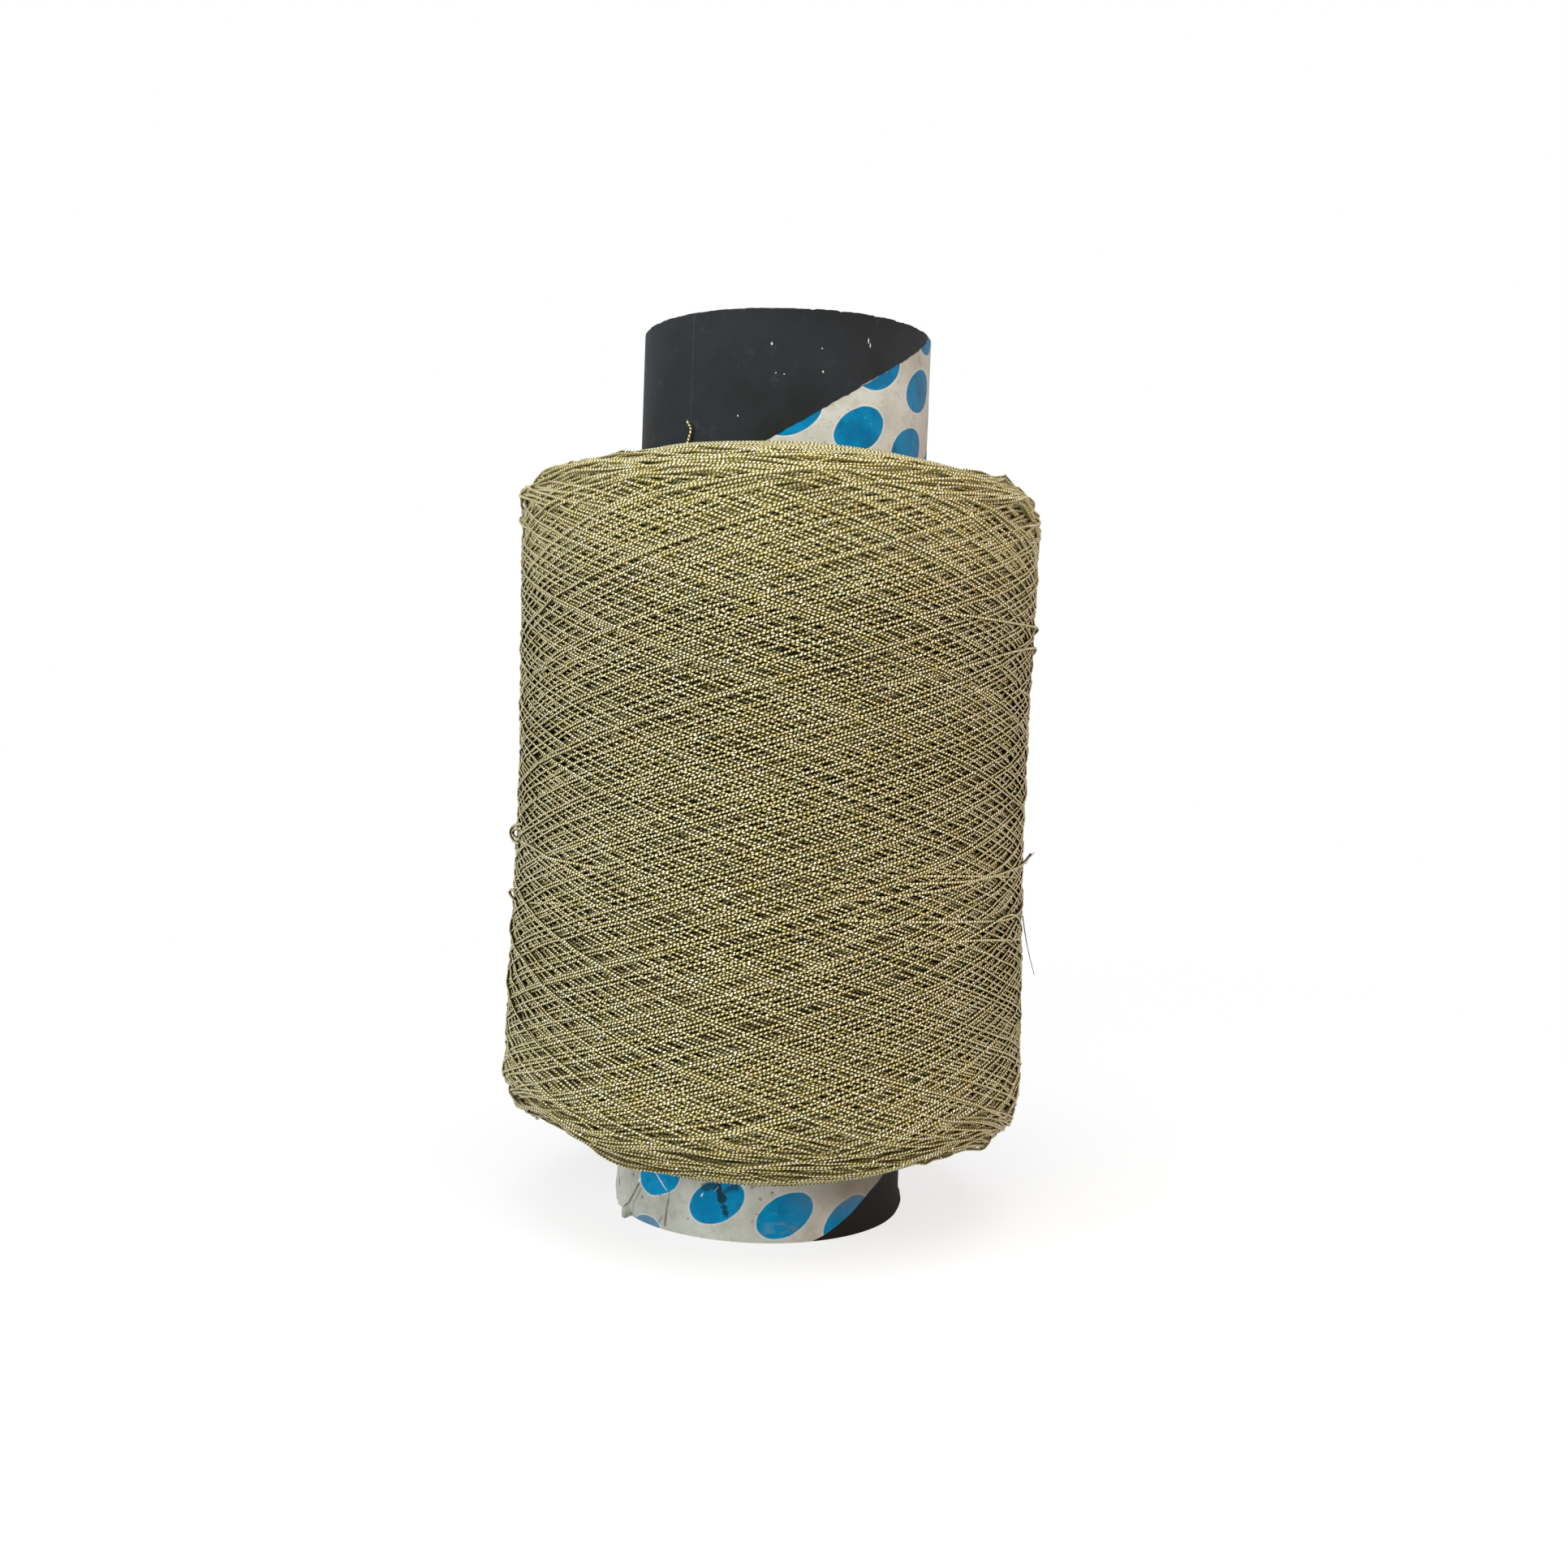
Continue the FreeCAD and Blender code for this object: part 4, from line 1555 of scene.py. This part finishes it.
    def join(self) -> list[tuple[Path, Array]]:
        """Join the laid stretches of each pair of passes into one.

        Returns:
            The joined stretches, with the heights of their middles.
        """
        joined = []
        group = 2 * self.stretches
        for first in range(0, len(self.laid), group):
            stretches = self.laid[first : first + group]
            rows = [(path.angle[:-1], path.along[:-1], middle[:-1]) for path, middle in stretches]
            ends = slice(self.overlap)
            following = self.laid[first + group : first + group + 1]
            if not following:
                ends, following = slice(-1, None), stretches[-1:]
            path, middle = following[0]
            rows.append((path.angle[ends], path.along[ends], middle[ends]))
            angle, along, middle = map(np.concatenate, zip(*rows))
            joined.append((Path(angle, along), middle))
        return joined

    def core(self) -> Piece:
        """Turn the inside of the winding, just under its lowest strands.

        Returns:
            The piece, closed round the tube.
        """
        section, columns = self.section, self.core_columns
        last = section.rows - self.core_edge
        keep = np.unique(np.append(np.arange(self.core_edge, last, self.core_pace), last - 1))
        depth = self.thickness[keep] + self.core_depth
        radius = section.radius[keep] - depth * section.out_r[keep]
        radius = np.maximum(radius, self.core_radius + self.core_wall)
        radius = np.pad(radius, 1, constant_values=self.core_radius)
        height = np.pad(section.height[keep] - depth * section.out_z[keep], 1, mode="edge")
        place = np.pad(section.along[keep], 1, mode="edge")
        column, row = np.arange(columns)[:, None], np.arange(len(radius))
        turn = column * FULL_TURN / columns
        points = polar(radius, turn, height + self.raised(turn, place))
        here = column * len(radius) + row
        beside = (column + 1) % columns * len(radius) + row
        above = (row + 1) % len(radius) - row
        faces = np.stack([here, beside, beside + above, here + above], -1)
        left = turn * self.core_map_radius / 100
        right = left + FULL_TURN / columns * self.core_map_radius / 100
        low = travelled(pairs(radius, height)) / 100
        high = np.append(low[1:], low[-1])
        uv = pairs(
            np.stack([left, right, right, left], -1), np.stack([low, low, high, high], -1)
        )
        points, starts = points.reshape(-1, 3), np.arange(0, faces.size, 4)
        return new_piece("thread_core", points, faces.ravel(), starts, "wound", uv)

    def gather(self, name: str, stretches: list[tuple[Path, Array]]) -> list[Piece]:
        """Make strands into as many pieces as their triangles need.

        Args:
            name: The name that the pieces start with.
            stretches: The laid stretches.

        Returns:
            The pieces.
        """
        batches: list[StrandMesh] = []
        start = 0.0
        for path, middle in stretches:
            strand = self.strand(path, middle, start)
            if not batches or batches[-1].vertex_count * 2 > self.largest_piece:
                batches.append(StrandMesh(f"{name}_{len(batches) + 1}", self.diameter / 2))
                start = strand.start = 0.0
            batches[-1].add(strand)
            start += float(np.linalg.norm(np.diff(strand.points, axis=0), axis=1).sum())
        return [batch.build() for batch in batches]

    def build(self) -> None:
        """Wind the package."""
        self.lay_faces()
        self.wind()
        self.lay_shoulders()
        self.thickness = self.level()
        self.covered = self.cover()
        log.info("winding stands %.2f mm over its core", float(self.thickness.mean()))
        hand_over(self.core(), PackedThread().make(), Slot.THREAD, "thread_build")
        thread = MetallicThread().make()
        faces = self.gather("thread_face", self.face_arcs)
        for piece in faces + self.gather("thread_layer", self.join()):
            hand_over(piece, thread, Slot.THREAD, "thread_outer_turns")


@dataclass
class LooseEnds:
    """The start of the thread, the turns that slipped out of line, and caught lint.

    A knot is degrees from the front line, a height, and how far it stands
    off the winding.
    """

    section: Section = field(default_factory=Section)
    diameter: float = 0.63
    tail_diameter: float = 0.7
    fibre_diameter: float = 0.26
    sides: int = 8
    thread_between: float = 17.3
    tail_knots: tuple = (
        (-38.4, 152.8, 0.6), (-38.2, 154.0, 0.5), (-37.7, 155.7, 0.2), (-37.2, 156.9, 0.0),
        (-37.0, 157.8, 0.1), (-38.1, 158.6, 0.4), (-38.8, 159.2, 0.3),
    )
    slack_turns: tuple = (
        ((5, 76.0, -0.3), (24.8, 75.4, 0.2), (36.7, 75.0, 0.3), (56.9, 73.7, 0.3),
         (80.8, 71.6, 0.35), (97, 69.5, 0.2), (112, 68.0, -0.3)),
        ((8, 74.6, -0.3), (24.9, 74.2, 0.2), (36.7, 74.1, 0.3), (50.9, 73.4, 0.3),
         (60.4, 73.0, 0.3), (80.0, 71.0, 0.45), (95, 70.0, -0.3)),
        ((10, 72.2, -0.3), (24.9, 72.7, 0.2), (36.8, 72.8, 0.3), (46.5, 72.7, 0.3),
         (56.9, 73.6, 0.4), (72, 74.2, 0.4), (81, 74.6, 0.5), (86, 75.6, 1.7)),
        ((12, 69.6, -0.3), (25, 70.4, 0.2), (36.9, 71.4, 0.3), (45.2, 72.3, 0.3),
         (56, 74.5, 0.3), (66, 77.5, 0.25), (78, 81.0, 0.2), (92, 85.0, -0.3)),
        ((14, 66.3, -0.3), (29, 65.8, 0.2), (37.2, 65.5, 0.3), (51.7, 64.8, 0.3),
         (59.1, 64.4, 0.45), (67.2, 64.7, 0.5), (78, 65.8, 0.4), (92, 70.0, 0.1),
         (104, 75.0, -0.3)),
        ((40, 60.5, -0.3), (49, 63.0, 0.2), (54, 64.5, 0.5), (59, 65.5, 0.7),
         (64, 65.3, 0.6), (70, 63.8, 0.3), (80, 61.0, -0.3)),
        ((28, 61.6, -0.3), (42.1, 61.6, 0.2), (50.3, 61.5, 0.3), (59.6, 60.4, 0.3),
         (78, 58.8, 0.35), (92, 57.5, 0.1), (104, 56.0, -0.3)),
        ((20, 122.6, -0.3), (38.3, 122.3, 0.2), (45.6, 122.1, 0.3), (55, 121.9, 0.35),
         (71.5, 122.2, 0.5), (80.7, 122.4, 0.9), (88, 122.0, 0.7), (98, 120.0, -0.3)),
        ((22, 108.5, -0.3), (38.9, 112.2, 0.2), (47.6, 114.6, 0.3), (59.6, 116.8, 0.35),
         (75.6, 118.4, 0.6), (82, 118.2, 0.8), (92, 116.0, -0.3)),
        ((-70, 79.2, -0.3), (-76, 78.7, 0.3), (-80, 78.0, 1.0), (-83, 76.7, 1.3),
         (-82, 75.4, 0.9), (-79, 74.8, 0.3), (-73, 75.0, -0.3)),
        ((-71, 78.2, -0.3), (-77, 77.8, 0.3), (-81, 77.2, 0.7), (-82, 76.4, 0.8),
         (-79, 75.8, 0.4), (-72, 75.8, -0.3)),
        ((-98, 73.0, -0.3), (-80.8, 73.3, 0.35), (-58.3, 74.0, 0.3), (-48, 73.8, 0.3),
         (-40, 73.5, 0.2), (-25, 72.6, -0.3)),
        ((-98, 77.0, -0.3), (-80.8, 75.5, 0.35), (-63.3, 75.8, 0.3), (-57.5, 75.0, 0.3),
         (-48, 73.0, 0.2), (-38, 70.5, -0.3)),
        ((-72, 63.2, -0.3), (-78, 63.6, 0.3), (-82, 64.2, 0.85), (-81, 65.0, 0.7),
         (-75, 65.4, -0.3)),
        ((-92, 62.5, -0.3), (-74.6, 62.9, 0.25), (-57.6, 64.8, 0.3), (-44.8, 66.0, 0.2),
         (-30, 66.6, -0.3)),
    )
    fibres: tuple = (
        ((78.0, 63.5, 0.1), (80.5, 61.0, 0.35), (81.5, 57.5, 0.9), (81.5, 54.2, 1.7),
         (81.5, 51.0, 2.6)),
        ((82, 74.0, 0.5), (84, 75.2, 1.3), (85, 76.2, 2.4)),
    )

    def curve(self, name: str, knots: Array) -> Array:
        """Read a smooth line through a strand's control points.

        Args:
            name: The name of the curve.
            knots: Its control points in millimetres.

        Returns:
            The line's points.
        """
        line = bpy.data.curves.new(name, "CURVE")
        line.dimensions = "3D"
        line.resolution_u = 8
        spline = line.splines.new("NURBS")
        spline.points.add(len(knots) - 1)
        for point, knot in zip(spline.points, knots):
            point.co = (*knot, 1.0)
        spline.order_u = 4
        spline.use_endpoint_u = True
        holder = link(line)
        mesh = bpy.data.meshes.new_from_object(holder)
        points = np.array([vertex.co for vertex in mesh.vertices])
        bpy.data.objects.remove(holder)
        bpy.data.meshes.remove(mesh)
        bpy.data.curves.remove(line)
        return points

    def strands(
        self, name: str, diameter: float, routes: tuple, taper: float, base: float | None = None
    ) -> Piece:
        """Make strands along routes, in one piece.

        Args:
            name: The piece's name.
            diameter: The strands' diameter.
            routes: The knots of each.
            taper: How much thinner they are at their ends, as a share.
            base: The radius that they stand off, if it isn't the winding's.

        Returns:
            The piece.
        """
        section = self.section
        mesh = StrandMesh(name, diameter / 2, self.sides)
        for number, route in enumerate(routes):
            angle, height, off = np.array(route, float).T
            surface = np.interp(height, section.height, section.radius) if base is None else base
            points = self.curve(f"{name}_line", polar(surface + off, np.radians(angle), height))
            start = number * self.thread_between
            mesh.add(Strand(points, points * [1, 1, 0], start), taper)
        return mesh.build()

    def build(self) -> None:
        """Make the loose ends."""
        beside_tube = TUBE_RADIUS + self.tail_diameter / 2 + 0.05
        tail = self.strands(
            "thread_end_tail", self.tail_diameter, (self.tail_knots,), 0.25, beside_tube
        )
        slack = self.strands("thread_slack_turns", self.diameter, self.slack_turns, 0.0)
        lint = self.strands("thread_lint", self.fibre_diameter, self.fibres, 0.5)
        thread = MetallicThread().make()
        hand_over(tail, thread, Slot.THREAD, "thread_tail")
        hand_over(slack, thread, Slot.THREAD, "thread_outer_turns")
        hand_over(lint, StrayFibre().make(), Slot.THREAD, "thread_outer_turns")


# ---- Studio ----------------------------------------------------------------


@dataclass
class Studio:
    """A pale floor, soft lamps and the camera of the picture.

    A lamp is a name, its place in metres, the length of its side, its power
    in watts, and its colour.
    """

    distance: float = 332.7
    height: float = 101.2
    pitch: float = -0.0386
    roll: float = 0.0363
    yaw: float = 0.0074
    focal_pixels: float = 1944.0
    sensor: float = 36.0
    ambient: float = 0.42
    clear_rays: tuple = ("Is Camera Ray", "Is Glossy Ray", "Is Transmission Ray")
    aim: tuple = (0.0, 0.0, 0.09)
    clip: tuple = (0.01, 50.0)
    floor_side: float = 8.0
    lamps: tuple = (
        ("key", (-0.45, -1.2, 0.8), 0.7, 8.5, (0.96, 1.0, 0.93)),
        ("right", (1.25, -0.45, 0.45), 0.9, 7.6, (1.0, 0.64, 0.60)),
        ("left", (-1.1, -0.5, 0.5), 0.9, 8.2, (0.85, 0.87, 1.0)),
        ("top", (0.0, -0.25, 0.95), 0.8, 7.0, (0.98, 1.0, 1.0)),
    )

    def camera(self) -> None:
        """Stand the camera where the picture was taken from."""
        data = bpy.data.cameras.new("camera")
        data.sensor_width = self.sensor
        data.lens = self.focal_pixels * self.sensor / PHOTO_SIDE
        data.clip_start, data.clip_end = self.clip
        camera = link(data)
        level = Vector((math.cos(self.yaw), -math.sin(self.yaw), 0.0))
        flat, climb = math.cos(self.pitch), math.sin(self.pitch)
        forward = Vector((math.sin(self.yaw) * flat, math.cos(self.yaw) * flat, climb))
        upright = level.cross(forward)
        right = math.cos(self.roll) * level + math.sin(self.roll) * upright
        up = math.cos(self.roll) * upright - math.sin(self.roll) * level
        turn = Matrix((right, up, -forward)).transposed().to_4x4()
        place = Matrix.Translation((0.0, -self.distance * MM, self.height * MM))
        camera.matrix_world = place @ turn
        bpy.context.scene.camera = camera

    def hang_lamps(self) -> None:
        """Hang the square lamps, which all face the package."""
        for name, place, size, power, colour in self.lamps:
            data = bpy.data.lights.new(name, "AREA")
            data.size, data.energy, data.color = size, power, colour
            lamp = link(data)
            lamp.location = place
            lamp.rotation_mode = "QUATERNION"
            aim = Vector(self.aim) - Vector(place)
            lamp.rotation_quaternion = aim.to_track_quat("-Z", "Y")

    def world(self) -> None:
        """A white surround for eye and mirror, and a softer light for the rest."""
        bench = Bench(bpy.data.worlds.new("surround"))
        outputs = bench.add("ShaderNodeLightPath").socket.node.outputs
        eye, mirror, glass = (Shade(bench, outputs[kind]) for kind in self.clear_rays)
        strength = self.ambient + (eye | mirror | glass) * (1.0 - self.ambient)
        white = {"Color": (1.0, 1.0, 1.0, 1.0), "Strength": strength}
        glow = bench.add("ShaderNodeBackground", None, white)
        bench.add("ShaderNodeOutputWorld", None, {"Surface": glow})
        bpy.context.scene.world = bench.owner

    def floor(self) -> None:
        """Lay the pale floor, which keeps the package's shadow."""
        deselect()
        bpy.ops.mesh.primitive_plane_add(size=self.floor_side, location=(0.0, 0.0, 0.0))
        floor = bpy.context.object
        floor.name = "floor"
        bench = Bench(bpy.data.materials.new("floor_finish"))
        rays = bench.add("ShaderNodeLightPath", None, None, "Is Camera Ray")
        matt = bench.add("ShaderNodeBsdfDiffuse", None, {"Color": (0.9, 0.9, 0.9, 1.0)})
        glow = bench.add("ShaderNodeEmission", None, {"Strength": 1.0})
        x, y = bench.parts(bench.place())[:2]
        away = (x * x + y * y).root().ramp(0.05, 0.45)
        share = rays * (0.75 + away * 0.25)
        surface = bench.add("ShaderNodeMixShader", None, {0: share, 1: matt, 2: glow})
        bench.add("ShaderNodeOutputMaterial", None, {"Surface": surface})
        dress(floor, bench.owner)
        floor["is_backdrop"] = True

    def build(self) -> None:
        """Set up the room."""
        self.camera()
        self.world()
        self.floor()
        self.hang_lamps()
        bpy.context.scene.view_settings.view_transform = "Standard"


def main() -> None:
    """Build the package and its room, and log how many triangles they have."""
    Studio().build()
    PaperTube().build()
    ThreadPackage().build()
    LooseEnds().build()
    deselect()
    total = sum(
        len(piece.data.loops) - 2 * len(piece.data.polygons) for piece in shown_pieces()
    )
    log.info("%d triangles in all", total)


if __name__ == "__main__":
    logging.basicConfig(level=logging.INFO)
    main()
